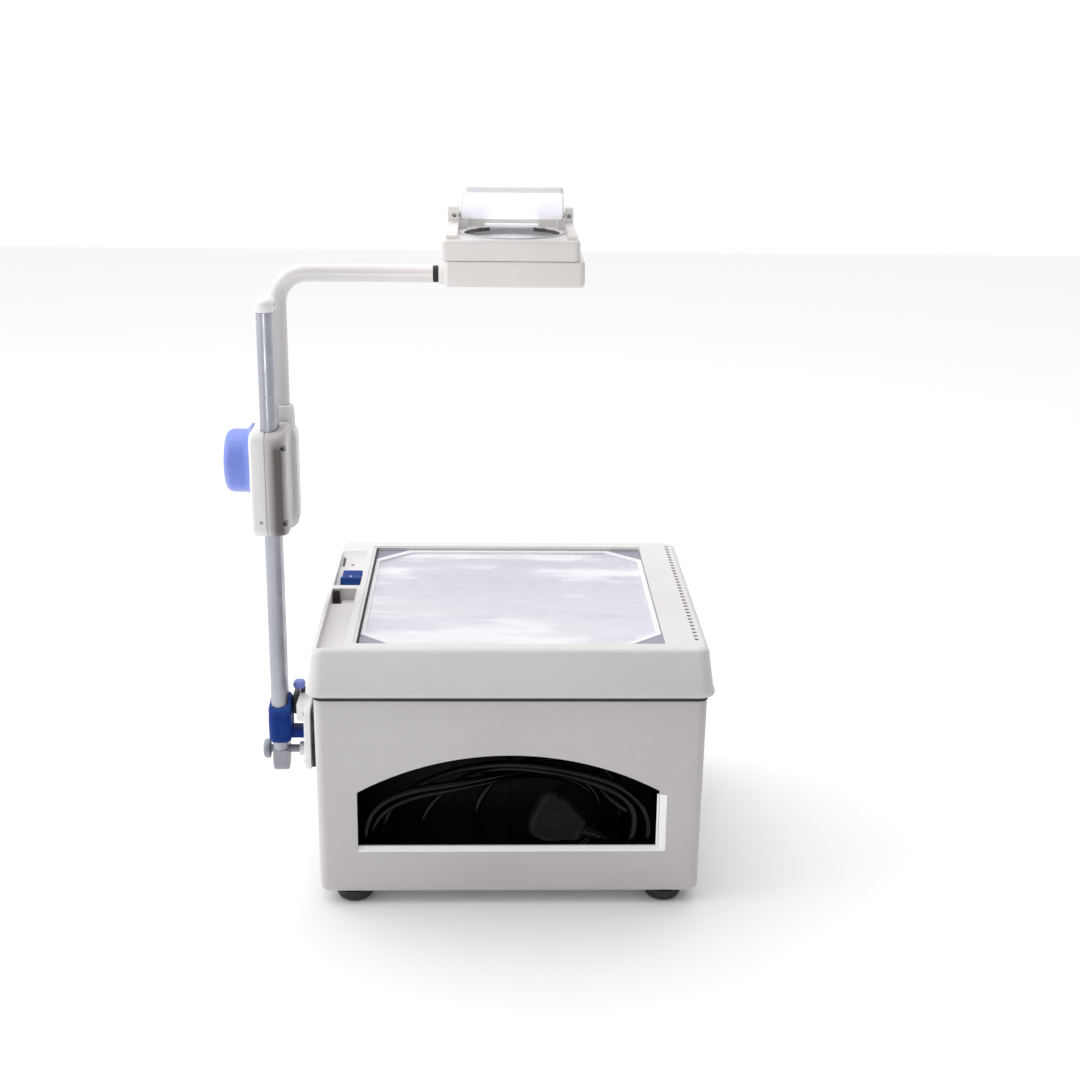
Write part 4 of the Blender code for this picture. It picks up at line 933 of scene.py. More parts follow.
def make_plug():
    """The moulded three-pin plug with finger grips, a parting line and a ribbed relief."""
    half = [
        (0.0085, -0.0262), (0.0110, -0.0250), (0.0140, -0.0195), (0.0175, -0.0120),
        (0.0212, -0.0055), (0.0245, 0.0020), (0.0250, 0.0080), (0.0245, 0.0140), (0.0230, 0.0182),
        (0.0200, 0.0210), (0.0150, 0.0228), (0.0100, 0.0235),
    ]
    outline = half + [(-a, b) for a, b in half[::-1]]
    y = PLUG_CENTRE[1]
    front = y - PLUG_THICK / 2
    back = y + PLUG_THICK / 2

    def ring(shrink, level):
        return [
            (x, level, z)
            for x, z in (plug_point(a * (1 - shrink), b * (1 - shrink)) for a, b in outline)
        ]

    levels = (
        (0.30, front + 0.0006), (0.20, front), (0.13, front + 0.0002), (0.06, front + 0.0012),
        (0.015, front + 0.0030), (0.0, front + 0.0055), (0.0, back - 0.0062),
        (0.022, back - 0.0058), (0.022, back - 0.0050), (0.0, back - 0.0046), (0.0, back - 0.0020),
        (0.02, back - 0.0007), (0.06, back),
    )
    plug = loft("plug_body", [ring(*level) for level in levels])
    grips = []
    for side in (-1, 1):
        for i in range(4):
            x, z = plug_point(side * 0.0235, -0.002 + 0.0042 * i)
            grips.append(disc(f"grip_{side}_{i}", 0.0011, -0.02, 0.02, (x, y, z), BACK, 12))
    fuse_x, fuse_z = plug_point(0, 0.004)
    dimple = turned(
        "plug_dimple", [(0, -0.001), (0.0052, -0.001), (0.0045, 0.0008), (0, 0.0012)],
        (fuse_x, front, fuse_z), BACK, 32,
    )
    cut(plug, dimple, *grips)
    dress(plug, "plug", "base", "mains_plug", bevel=0.0004, smooth=40)

    start = plug_point(0, -0.0235)
    stop = plug_point(0, -0.0455)
    along = Vector((stop[0] - start[0], 0, stop[1] - start[1]))
    length = along.length
    profile = [(0, -0.004), (0.0082, -0.004), (0.0082, 0.0008)]
    for i in range(6):
        base = 0.0016 + i * (length - 0.0035) / 6
        radius = 0.0074 - 0.0026 * i / 6
        profile += [
            (radius - 0.0011, base), (radius - 0.0011, base + 0.0010), (radius, base + 0.0014),
            (radius, base + 0.0028),
        ]
    profile += [(0.0042, length), (0, length)]
    relief = turned("plug_relief", profile, (start[0], y, start[1]), along, 40)
    dress(relief, "jacket", "base", bevel=0.0002, smooth=40)

    pins = [plug, relief]
    for i, (across, up, wide, tall) in enumerate(
        ((0, 0.012, 0.004, 0.008), (0.011, -0.008, 0.0063, 0.004), (-0.011, -0.008, 0.0063, 0.004))
    ):
        rings = []
        for grow, level in (
            (0, back - 0.003), (0, back + 0.0150), (-0.0006, back + 0.0166),
            (-0.0012, back + 0.0170),
        ):
            w, t = wide / 2 + grow, tall / 2 + grow
            rings.append(
                [
                    (x, level, z)
                    for x, z in (
                        plug_point(across + sx * w, up + sz * t)
                        for sx, sz in ((-1, -1), (1, -1), (1, 1), (-1, 1))
                    )
                ]
            )
        pin = loft(f"plug_pin_{i}", rings)
        dress(pin, "brass", "base", bevel=0.0003)
        pins.append(pin)
    return pins


def make_gland():
    """The cord's tapered relief in the compartment's back wall, with a hex collar."""
    x, _, z = GLAND
    back = NICHE_BACK
    profile = [(0, -0.002), (0.0078, -0.002), (0.0078, 0.0050), (0.0070, 0.0062), (0.0062, 0.0066)]
    for i in range(5):
        base = 0.0078 + 0.0031 * i
        radius = 0.0062 - 0.00022 * i
        profile += [
            (radius - 0.0010, base), (radius - 0.0010, base + 0.0008), (radius, base + 0.0012),
            (radius, base + 0.0024),
        ]
    profile += [(0.0046, GLAND_LENGTH - 0.001), (0.0042, GLAND_LENGTH), (0, GLAND_LENGTH)]
    gland = turned("gland_relief", profile, (x, back - 0.0003, z), FORWARD, 40)
    dress(gland, "jacket", "base", "cord_gland", bevel=0.0002, smooth=40)
    collar = turned(
        "gland_collar",
        [(0.0070, 0.0), (0.0098, 0.0), (0.0098, 0.0042), (0.0088, 0.0052), (0.0070, 0.0052)],
        (x, back - 0.0003, z), FORWARD, 6,
    )
    dress(collar, "black", "base", bevel=0.0004, smooth=20)
    return gland


def make_cord():
    route = cord_route()
    curve = bpy.data.curves.new("mains_cord", "CURVE")
    curve.dimensions = "3D"
    curve.bevel_depth = CORD_D / 2
    curve.bevel_resolution = 7
    curve.use_fill_caps = True
    spline = curve.splines.new("POLY")
    fine = smooth_route(route, ROUTE_STEP / 2)
    spline.points.add(len(fine) - 1)
    for point, where in zip(spline.points, fine):
        point.co = (*at(*where), 1)
    spline.use_smooth = True
    curve.materials.append(PAINTS["jacket"])
    cord = bpy.data.objects.new("mains_cord", curve)
    bpy.context.scene.collection.objects.link(cord)
    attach(cord, "base")
    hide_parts("cord_lead", "cord_tail", "cord_bundle")
    pins = make_plug()
    make_gland()


# ---------------------------------------------------------------- body

# What a bore is wider than what turns or sits in it
FIT = 0.0003
BODY_W = 0.360
BODY_D = 0.330
BODY_BOTTOM = 0.012
BODY_TOP = 0.2132
BODY_CORNER = 0.009
BODY_EDGE = 0.006
WALL = 0.003
STAGE_Y = 0.163
MOUTH_RIGHT = 0.1385
FLARE = 0.0016
TOP_DRAW = 0.9975
MOUTH_OUTER = (0.1490, 0.0553)
LOUVRES_Z = [0.077 + 0.011 * i for i in range(8)]


def niche_outline(grow=0.0, bottom=NICHE_BOTTOM, steps=64):
    """The arch of the cord compartment, grown outwards by a distance."""
    half = NICHE_HALF + grow
    radius = NICHE_RADIUS + grow
    top = degrees(acos(half / radius))
    low = bottom - grow
    return [(-half, low), (half, low)] + arc((0, NICHE_CENTRE), radius, top, 180 - top, steps)


def mouth_outline(right, bottom, steps=64):
    """The opening in the front, with its right side and its bottom where they are asked for."""
    start, end = (degrees(acos(x / NICHE_RADIUS)) for x in (right, -NICHE_HALF))
    return [(-NICHE_HALF, bottom), (right, bottom)] + arc(
        (0, NICHE_CENTRE), NICHE_RADIUS, start, end, steps
    )


def make_body():
    half_w = BODY_W / 2
    rings = []
    for inset, rise in rim_steps(BODY_EDGE):
        outline = drawn_in((-half_w, 0), (half_w, BODY_D), inset, BODY_CORNER - inset / 2)
        rings.append([(x, y, BODY_BOTTOM + rise) for x, y in outline])
    flare = 1 + FLARE / half_w
    rings.append([(x * flare, y, BODY_TOP - 0.0012) for x, y, _ in rings[-1]])
    middle = BODY_D / 2
    rings.append(
        [(x * TOP_DRAW, (y - middle) * TOP_DRAW + middle, BODY_TOP) for x, y, _ in rings[-1]]
    )
    shell = loft("body_cover", rings)
    inner = rounded((-half_w + WALL, WALL), (half_w - WALL, BODY_D - WALL), BODY_CORNER - WALL)
    hollow = prism("hollow", inner, "z", BODY_BOTTOM + 0.0035, BODY_TOP + 0.01)
    rings = []
    for level, right, bottom in (
        (-0.001, *MOUTH_OUTER), (WALL + 0.0006, MOUTH_RIGHT, NICHE_BOTTOM),
        (0.012, MOUTH_RIGHT, NICHE_BOTTOM),
    ):
        rings.append([(x, level, z) for x, z in mouth_outline(right, bottom)])
    mouth = loft("mouth", rings)
    service = prism("service", rounded((-0.125, 0.100), (0.125, 0.300), 0.01), "z", 0.0, 0.02)
    outlet = block("outlet", (-0.055, BODY_D - 0.01, 0.070), (0.055, BODY_D + 0.01, 0.170))
    grooves = [
        block(
            f"groove_{side}_{end}", (side * half_w - 0.0004, low, 0.030),
            (side * half_w + 0.0004, low + 0.0012, 0.195),
        )
        for side in (-1, 1)
        for end, low in (("front", 0.052), ("rear", 0.277))
    ]
    cut(shell, hollow, mouth, service, outlet, *grooves)
    dress(shell, "shell", "base", "body_shell", bevel=0.0006)

    liner = prism("compartment_liner", niche_outline(0.002, NICHE_FLOOR), "y", WALL + 0.0003, 0.078)
    room = prism("room", niche_outline(0.0007, NICHE_FLOOR), "y", 0.0053, NICHE_BACK)
    gate = prism("gate", niche_outline(), "y", -0.01, 0.0073)
    hole = disc("hole", 0.0065, -0.01, 0.01, (GLAND[0], 0.078, GLAND[2]), BACK, 32)
    cut(liner, room, gate, hole)
    dress(liner, "liner", "base", "cord_compartment")
    for i in range(5):
        x = -0.110 + 0.055 * i
        rib = pillow(
            f"liner_rib_{i}", (x - 0.0012, 0.0735, 0.019), (x + 0.0012, 0.0763, 0.118), "z", 0.0008,
            0.0006,
        )
        dress(rib, "liner", "base")
    # A black seal round the body's top, just under the lid's edge: a painted shadow line for the
    # gap between lid and body
    gasket = []
    for grow, level in (
        (0.0007, BODY_TOP - 0.0036), (0.0009, BODY_TOP - 0.0030), (0.0009, BODY_TOP - 0.0001)
    ):
        outline = rounded(
            (-half_w - FLARE - grow, -grow), (half_w + FLARE + grow, BODY_D + grow),
            BODY_CORNER + grow, 10,
        )
        gasket.append([(x, y, level) for x, y in outline])
    inner = rounded(
        (-half_w + 0.001, 0.001), (half_w - 0.001, BODY_D - 0.001), BODY_CORNER - 0.001, 10
    )
    gasket += [
        [(x, y, level) for x, y in inner] for level in (BODY_TOP - 0.0001, BODY_TOP - 0.0036)
    ]
    seal = loft("lid_shadow_seal", gasket, closed=True)
    dress(seal, "seal", "base", smooth=30)
    make_glowing_lip()
    make_rear()
    make_feet()


def make_glowing_lip():
    """The edge of the mouth's wall along its bottom and its right side, painted pale and glowing as
    a painted highlight where light falls on it.
    """
    depth = WALL + 0.0008
    low = [
        (-0.0001, 0.0568), (depth, NICHE_BOTTOM + 0.0002), (depth, NICHE_BOTTOM - 0.0004),
        (-0.0001, 0.0557),
    ]
    bottom = prism("mouth_sill", low, "x", -NICHE_HALF + 0.0002, 0.1466)
    dress(bottom, "lip", "base", smooth=30)
    top = NICHE_CENTRE + (NICHE_RADIUS**2 - 0.1472**2) ** 0.5
    side = [
        (0.1465, -0.0001), (MOUTH_RIGHT - 0.0002, depth), (MOUTH_RIGHT + 0.0004, depth),
        (0.1472, -0.0001),
    ]
    jamb = prism("mouth_jamb", side, "z", 0.0561, top - 0.0006)
    dress(jamb, "lip", "base", smooth=30)


def make_rear():
    """The louvred grille and its louvres at the back."""
    back = BODY_D - 0.0003
    grille = pillow(
        "grille_plate", (-0.0547, back - 0.0045, 0.0703), (0.0547, back, 0.1697), "y", 0.004,
        0.0008, 6, 3,
    )
    flange = block("flange", (-0.060, back - 0.005, 0.065), (0.060, back - 0.0031, 0.175))
    join(grille, flange)
    slots = []
    for i, low in enumerate(LOUVRES_Z):
        near, far = (-0.048, back - 0.01, low), (0.048, back + 0.01, low + 0.005)
        slots.append(pillow(f"slot_{i}", near, far, "y", 0.0024, 0.0001, 6, 1))
    cut(grille, *slots)
    dress(grille, "shell", "base", "rear_grille", bevel=0.0005)
    for i, low in enumerate(LOUVRES_Z):
        louvre = loft(
            f"louvre_{i}",
            [
                [
                    (x, back - 0.0046, low + 0.0052), (x, back - 0.0012, low - 0.0004),
                    (x, back - 0.0002, low + 0.0002), (x, back - 0.0036, low + 0.0062),
                ]
                for x in (-0.0485, 0.0485)
            ],
        )
        dress(louvre, "black", "base", bevel=0.0002)


def screw_head(name, centre, axis, radius, body):
    """A cross-head screw seen from its head."""
    head = turned(
        name,
        [
            (0, -0.0015), (radius, -0.0015), (radius, 0.0002), (radius * 0.86, 0.0009),
            (radius * 0.4, 0.0012), (0, 0.0012),
        ],
        centre, axis, 32,
    )
    turn = Vector(UP).rotation_difference(Vector(axis)).to_matrix().to_4x4()
    where = Matrix.Translation(at(*centre)) @ turn
    slots = []
    for wide, deep in ((radius * 1.2, radius * 0.24), (radius * 0.24, radius * 1.2)):
        shape = bmesh.new()
        bmesh.ops.create_cube(shape, size=1)
        bmesh.ops.scale(shape, vec=(wide, deep, 0.002), verts=shape.verts)
        bmesh.ops.translate(shape, vec=(0, 0, 0.0012), verts=shape.verts)
        bmesh.ops.transform(shape, matrix=where, verts=shape.verts)
        slots.append(keep(f"{name}_slot", shape))
    cut(head, *slots)
    return dress(head, "screw", body, bevel=0.0001)


def make_feet():
    for side, x in (("left", -0.148), ("right", 0.148)):
        for end, y in (("front", 0.026), ("rear", 0.304)):
            profile = [
                (0, 0.0018), (0.0040, 0.0018), (0.0046, 0.0004), (0.0056, 0.0), (0.0124, 0.0),
                (0.0146, 0.0006), (0.0162, 0.0020), (0.0176, 0.0048), (0.0184, 0.0078),
                (0.0189, 0.0117), (0, 0.0117),
            ]
            lean = -0.0055 if end == "front" else 0.0
            foot = turned(f"rubber_foot_{end}_{side}", profile, (x, y + lean, 0), UP, 56)
            dress(foot, "rubber", "base", f"foot_{end}_{side}", smooth=50)


# ---------------------------------------------------------------- lid, stage and switch

LID_BOTTOM = 0.2138
LID_TOP = 0.259
LID_HALF_W = 0.1885
LID_HALF_D = 0.1695
LID_MID_Y = 0.165
LID_TAPER = 0.006
LID_CORNER = 0.014
LID_EDGE = 0.006
STAGE_HALF = 0.1425
STAGE_LOW = (-STAGE_HALF, STAGE_Y - STAGE_HALF)
STAGE_HIGH = (STAGE_HALF, STAGE_Y + STAGE_HALF)
THROUGH_TOP = (0.2, 0.3)
TRAY_X = (-0.1775, -0.153)
TRAY_Y = (0.0075, 0.170)
SWITCH_Y = (0.180, 0.291)
ROCKER_Y = (0.190, 0.232)
ROCKER_X = (-0.172, -0.152)
VENT_COUNT = 32
VENTS_Y = (0.028, 0.316)
VENT_LENGTH = 0.0045
NOTCH_LENGTH = 0.018
PILOT = (-0.1650, 0.262)


def sink(name, low, high, corner, depth, steps=4):
    """A cutter for an opening with rounded corners, sunk into the cover's top."""
    return prism(name, rounded(low, high, corner, steps), "z", LID_TOP - depth, THROUGH_TOP[1])


def make_lid():
    def ring(inset, level, corner):
        outline = rounded(
            (-LID_HALF_W + inset, -LID_HALF_D + inset), (LID_HALF_W - inset, LID_HALF_D - inset),
            corner, 10,
        )
        return [(x, y + LID_MID_Y, level) for x, y in outline]

    rings = [
        ring(0.0016, LID_BOTTOM, LID_CORNER),
        ring(0.0006, LID_BOTTOM + 0.0004, LID_CORNER),
        ring(0.0000, LID_BOTTOM + 0.0014, LID_CORNER),
        ring(0.0001, LID_BOTTOM + 0.0048, LID_CORNER),
        ring(0.0012, LID_BOTTOM + 0.0062, LID_CORNER),
    ]
    shoulder = LID_TOP - LID_EDGE
    for turn in range(0, 91, 10):
        inset = LID_TAPER + LID_EDGE * (1 - cos(radians(turn)))
        rings.append(ring(inset, shoulder + LID_EDGE * sin(radians(turn)), LID_CORNER - inset / 3))
    cover = loft("lid_cover", rings)
    chamber = block("chamber", (-0.1495, 0.0045, 0.19), (0.1745, 0.3255, LID_TOP - 0.0035))
    skirt = loft(
        "skirt",
        [
            ring(0.0030, 0.20, 0.011), ring(0.0030, LID_BOTTOM + 0.0005, 0.011),
            ring(0.0070, 0.240, 0.011),
        ],
    )
    low, high = STAGE_LOW, STAGE_HIGH
    window = prism("window", rounded(low, high, 0.0015, 3), "z", *THROUGH_TOP)
    rebate_low = (low[0] - 0.0028, low[1] - 0.0028)
    rebate_high = (high[0] + 0.0028, high[1] + 0.0028)
    rebate = prism(
        "rebate", rounded(rebate_low, rebate_high, 0.003, 4), "z", LID_TOP - 0.0007, THROUGH_TOP[1]
    )
    x0, x1 = TRAY_X
    tray_end = TRAY_Y[1]
    tray = sink("tray", (x0, TRAY_Y[0]), (x1, tray_end - 0.014), 0.002, 0.010)
    notch = sink("notch", (x0, tray_end - NOTCH_LENGTH), (x1, tray_end), 0.002, 0.012)
    finger = sink("finger", (x0, tray_end - NOTCH_LENGTH), (x0 + 0.009, tray_end), 0.002, 0.026)
    near, far = SWITCH_Y
    ramp = [
        (near, -0.006), (0.268, -0.006), (far - 0.001, -0.0008), (far, 0.0), (far, 0.03),
        (near, 0.03),
    ]
    recess = prism("recess", [(y, LID_TOP + rise) for y, rise in ramp], "x", x0, x1 + 0.002)
    groove = sink("groove", (x0 + 0.0015, 0.2565), (x0 + 0.0045, 0.2790), 0.0012, 0.014)
    hole = block(
        "rocker_room", (ROCKER_X[0] - 0.0008, ROCKER_Y[0] - 0.001, 0.2),
        (ROCKER_X[1] + 0.0008, ROCKER_Y[1] + 0.001, 0.3),
    )
    first, last = VENTS_Y
    starts = [first + (last - first) * i / VENT_COUNT for i in range(VENT_COUNT)]
    vents = [
        sink(f"vent_{i}", (0.1705, start), (0.1745, start + VENT_LENGTH), 0.0012, 0.012, 3)
        for i, start in enumerate(starts)
    ]
    pilot = disc("pilot_hole", 0.0022, *THROUGH_TOP, (*PILOT, 0), UP, 24)
    side_notch = block(
        "side_notch", (-0.19, 0.030, LID_BOTTOM - 0.01), (-0.1835, 0.068, LID_BOTTOM + 0.0045)
    )
    cut(
        cover, chamber, skirt, window, rebate, tray, notch, finger, recess, groove, hole, pilot,
        side_notch, *vents,
    )
    dress(cover, "lid", "lid", "top_cover", bevel=0.0006)
    # A dark grey cup lining the deep finger slot: painted shade for the dark left part of the notch
    shade_cup, inside, opened = (
        block(name, (x0 + dx, tray_end + dy, LID_TOP + dz), (x0 + ex, tray_end + ey, LID_TOP + ez))
        for name, (dx, dy, dz), (ex, ey, ez) in (
            ("finger_cup", (0.0001, -0.0178, -0.0255), (0.0075, -0.0001, -0.0024)),
            ("cup_inside", (0.0008, -0.0171, -0.0247), (0.0068, -0.0008, 0)),
            ("cup_front", (-0.001, -0.0185, -0.0119), (0.02, -0.0050, 0)),
        )
    )
    cut(shade_cup, inside, opened)
    dress(shade_cup, "gasket", "lid", smooth=30)
    make_stage()
    make_switch()


def make_stage():
    """The glass with its bevelled frame strips, over the mask and the grooved lens."""
    low, high = STAGE_LOW, STAGE_HIGH
    under = LID_TOP - 0.0035
    glass = pillow(
        "stage_pane", (low[0] + 0.0005, low[1] + 0.0005, under + 0.0003),
        (high[0] - 0.0005, high[1] - 0.0005, LID_TOP - 0.0010), "z", 0.0020, 0.0005, 4, 2,
    )
    dress(glass, "glass", "lid", "stage_glass", smooth=25)
    side = STAGE_HALF - 0.0012
    cut_x, cut_y = 0.034, 0.031
    right = [
        (side - cut_x, -side), (side, -side + cut_y), (side, side - cut_y), (side - cut_x, side)
    ]
    octagon = right + [(-x, y) for x, y in right[::-1]]
    plate = block(
        "mask_plate", (low[0] - 0.006, low[1] - 0.006, under - 0.0019),
        (high[0] + 0.006, high[1] + 0.006, under - 0.0004),
    )
    opening = prism("opening", [(x, y + STAGE_Y) for x, y in octagon], "z", *THROUGH_TOP)
    cut(plate, opening)
    dress(plate, "mask", "lid", "stage_mask", bevel=0.0004)
    edge = -STAGE_HALF
    strip = pillow(
        "stage_gasket", (edge + 0.0002, low[1] + 0.0008, under),
        (edge + 0.0021, high[1] - 0.0008, LID_TOP - 0.0006), "z", 0.0008, 0.0003, 3, 2,
    )
    dress(strip, "seal", "lid", smooth=30, slot="black_plastic")
    trim_out = [(x * 1.002, y * 1.002 + STAGE_Y) for x, y in octagon]
    trim_in = [(x * 0.968, y * 0.968 + STAGE_Y) for x, y in octagon]
    top = under + 0.0002
    rings = [
        [(x, y, top - 0.0012) for x, y in trim_out],
        [(x, y, top) for x, y in trim_out],
        [(x, y, top - 0.0004) for x, y in trim_in],
        [(x, y, top - 0.0030) for x, y in trim_in],
    ]
    trim = loft("mask_trim", rings, closed=True)
    dress(trim, "trim", "lid", smooth=20)


def make_switch():
    x0, x1 = ROCKER_X
    y0, y1 = ROCKER_Y
    middle = (y0 + y1) / 2
    tilt = radians(7)
    profile = [
        (y0 + 0.004, -0.007), (y1 - 0.004, -0.007), (y1 - 0.0005, 0.0065), (y1 - 0.0010, 0.0092),
        (y1 - 0.0042, 0.0106),
    ]
    for i in range(9):
        share = (i + 1) / 10
        y = y1 - 0.0042 + (y0 + 0.0042 - y1 + 0.0042) * share
        profile.append((y, 0.0106 - 0.0031 * sin(pi * share)))
    profile += [(y0 + 0.0042, 0.0106), (y0 + 0.0010, 0.0092), (y0 + 0.0005, 0.0065)]
    outline = [
        (
            middle + (y - middle) * cos(tilt) + z * sin(tilt),
            0.250 + z * cos(tilt) - (y - middle) * sin(tilt),
        )
        for y, z in profile
    ]
    rocker = prism("rocker_key", outline, "x", x0, x1)
    dress(rocker, "blue", "rocker", "rocker_switch", bevel=0.0011, segments=3)
    bar_y, bar_z = middle - 0.0105, 0.250 + 0.0098 + 0.0105 * sin(tilt)
    bar = pillow(
        "rocker_mark", (-0.1626, bar_y - 0.0035, bar_z - 0.0012),
        (-0.1614, bar_y + 0.0035, bar_z + 0.00015), "z", 0.0005, 0.0002, 3, 2,
    )
    dress(bar, "lid", "rocker")
    pilot = turned(
        "pilot_lens", [(0, -0.004), (0.0020, -0.004), (0.0020, 0.0), (0.0015, 0.0010), (0, 0.0014)],
        (*PILOT, LID_TOP - 0.0066), UP, 32,
    )
    dress(pilot, "pilot", "lid")


# ---------------------------------------------------------------- bracket, post and lock

POST_X = -0.227
POST_Y = 0.118
POST_HALF_X = 0.0075
POST_HALF_Y = 0.0165
POST_WALL = 0.0015
POST_BOTTOM = 0.1128
POST_TOP = 0.548
PIVOT_Z = 0.108
PIVOT_R = 0.004
FOOT_BOTTOM = 0.086
COLLAR_BOTTOM = 0.1215
COLLAR_TOP = 0.163
COLLAR_HALF_X = 0.011
COLLAR_HALF_Y = 0.0195
COLLAR_CORNER = 0.009
COLLAR_X = POST_X + 0.0005
BRACKET_X = (-0.200, -0.194)
BUTTON = (-0.2055, POST_Y + 0.012)


def oval(half_x, half_y, steps=20):
    """A flat oval about the post, whose ends are round, as (x, y)."""
    straight = half_y - half_x
    return arc((POST_X, POST_Y - straight), half_x, 180, 360, steps) + arc(
        (POST_X, POST_Y + straight), half_x, 0, 180, steps
    )


def make_bracket():
    x0, x1 = BRACKET_X
    y = POST_Y
    plate = pillow(
        "bracket_plate", (x0, y - 0.040, 0.1005), (x1, y + 0.040, 0.1660), "x", 0.010, 0.0014, 8, 4,
        (True, False),
    )
    # A black spacer between the plate and the body: a painted shadow for the dark gap between them
    shadow_pad = pillow(
        "bracket_shadow_spacer", (x1 - 0.0004, y - 0.030, 0.1000),
        (-BODY_W / 2 + 0.0004, y + 0.034, 0.1600), "x", 0.004, 0.0004, 6, 1,
    )
    dress(shadow_pad, "black", "base", smooth=40)
    head = pillow(
        "bracket_head", (-0.2095, y - 0.018, 0.1440), (x0 + 0.003, y + 0.022, 0.1642), "x", 0.004,
        0.0030, 6, 5, (True, False),
    )
    guard = pillow(
        "button_guard", (-0.2149, y + 0.001, 0.1440), (-0.2097, y + 0.023, 0.1640), "x", 0.003,
        0.0010, 6, 3,
    )
    dress(guard, "black", "base", bevel=0.0002, smooth=40)
    boss = turned(
        "boss",
        [
            (0, -0.002), (0.0078, -0.002), (0.0078, 0.0), (0.0072, 0.0010), (0.0072, 0.0084),
            (0.0066, 0.0090), (0, 0.0090),
        ],
        (x0, y, PIVOT_Z), LEFT, 48,
    )
    rib = block("rib", (-0.2028, y - 0.0012, 0.114), (x0 + 0.001, y + 0.0012, 0.146))
    well = disc("well", PIVOT_R + FIT, -0.003, 0.02, (x0, y, PIVOT_Z), LEFT, 40)
    shaft = disc("shaft", 0.0032, 0.1455, 0.2, (*BUTTON, 0), UP, 32)
    join(plate, head, boss, rib)
    cut(plate, well, shaft)
    dress(plate, "carriage", "base", "arm_bracket", bevel=0.0006)
    for i, (dy, z) in enumerate(((-0.031, 0.109), (0.031, 0.109), (-0.031, 0.158), (0.031, 0.158))):
        screw_head(f"bracket_screw_{i}", (x0 - 0.0001, y + dy, z), LEFT, 0.0028, "base")
    stem = disc("button_key", 0.0026, 0.1502, 0.1695, (*BUTTON, 0), UP, 32)
    bonnet = pillow(
        "bonnet", (-0.2150, y + 0.0045, 0.1684), (-0.2030, y + 0.0185, 0.1768), "z", 0.0050, 0.0040,
        10, 6,
    )
    dress(stem, "black", "button", smooth=40)
    dress(bonnet, "knob", "button", "release_button", smooth=40, slot="blue_plastic")
    pin = [
        (0, -0.0022), (PIVOT_R, -0.0022), (PIVOT_R, 0.0381), (0.0090, 0.0381), (0.0095, 0.0384),
        (0.0097, 0.0392), (0.0097, 0.0420), (0.0092, 0.0434), (0.0080, 0.0444), (0.0060, 0.0449),
        (0, 0.0451),
    ]
    lug = turned("pivot_lug", pin, (x0, y, PIVOT_Z), LEFT, 64)
    recess = disc("recess", 0.0048, 0.0441, 0.06, (x0, y, PIVOT_Z), LEFT, 6)
    cut(lug, recess)
    dress(lug, "foot_grey", "post", "pivot_pin", bevel=0.0002, smooth=40)


def make_post():
    edge = 0.0003
    small, full = (oval(POST_HALF_X - inset, POST_HALF_Y - inset) for inset in (edge, 0.0))
    levels = (
        (small, POST_BOTTOM), (full, POST_BOTTOM + edge), (full, POST_TOP - edge),
        (small, POST_TOP),
    )
    rings = [[(x, y, level) for x, y in outline] for outline, level in levels]
    tube = loft("post_profile", rings)
    bore = prism("bore", oval(POST_HALF_X - POST_WALL, POST_HALF_Y - POST_WALL), "z", 0.05, 0.6)
    cut(tube, bore)
    dress(tube, "post", "post", "post_tube", smooth=40)

    half = POST_HALF_Y - 0.0012
    low = FOOT_BOTTOM + half
    rings = []
    thick = POST_HALF_X
    for x, inset in (
        (-thick, 0.0016), (-thick + 0.0004, 0.0007), (-thick + 0.0012, 0.0001),
        (-thick + 0.0020, 0.0), (thick - 0.0020, 0.0), (thick - 0.0012, 0.0001),
        (thick - 0.0004, 0.0007), (thick, 0.0016),
    ):
        outline = arc((POST_Y, low), half - inset, 180, 360, 32)
        outline += [
            (POST_Y + half - inset, POST_BOTTOM - 0.0004),
            (POST_Y - half + inset, POST_BOTTOM - 0.0004),
        ]
        rings.append([(POST_X + x, y, z) for y, z in outline])
    foot = loft("post_shoe", rings)
    spigot = prism(
        "spigot", oval(POST_HALF_X - 0.0019, POST_HALF_Y - 0.0019), "z", POST_BOTTOM - 0.004,
        POST_BOTTOM + 0.030,
    )
    hole = disc("hole", PIVOT_R + FIT, -0.05, 0.05, (POST_X, POST_Y, PIVOT_Z), RIGHT, 40)
    join(foot, spigot)
    cut(foot, hole)
    dress(foot, "foot_grey", "post", "post_foot", bevel=0.0003, smooth=40)

    rings = []
    for rise, grow in (
        (0.0003, 0.0008), (0.0007, 0.0012), (0.0064, 0.0012), (0.0078, 0.0009), (0.0094, 0.0001),
        (0.0106, -0.0013), (0.0115, -0.0030), (0.0120, -0.0052),
    ):
        rings.append(
            [(x, y, POST_TOP + rise) for x, y in oval(POST_HALF_X + grow, POST_HALF_Y + grow)]
        )
    cap = loft("post_end_cap", rings)
    seat = disc(
        "seat", 0.0027, 0.0075, 0.02, (POST_X, POST_Y - 0.002, POST_TOP + 0.0052), RIGHT, 28
    )
    cut(cap, seat)
    dress(cap, "carriage", "post", "post_cap", smooth=45)
    screw_head(
        "cap_screw", (POST_X + 0.0076, POST_Y - 0.002, POST_TOP + 0.0052), RIGHT, 0.0024, "post"
    )


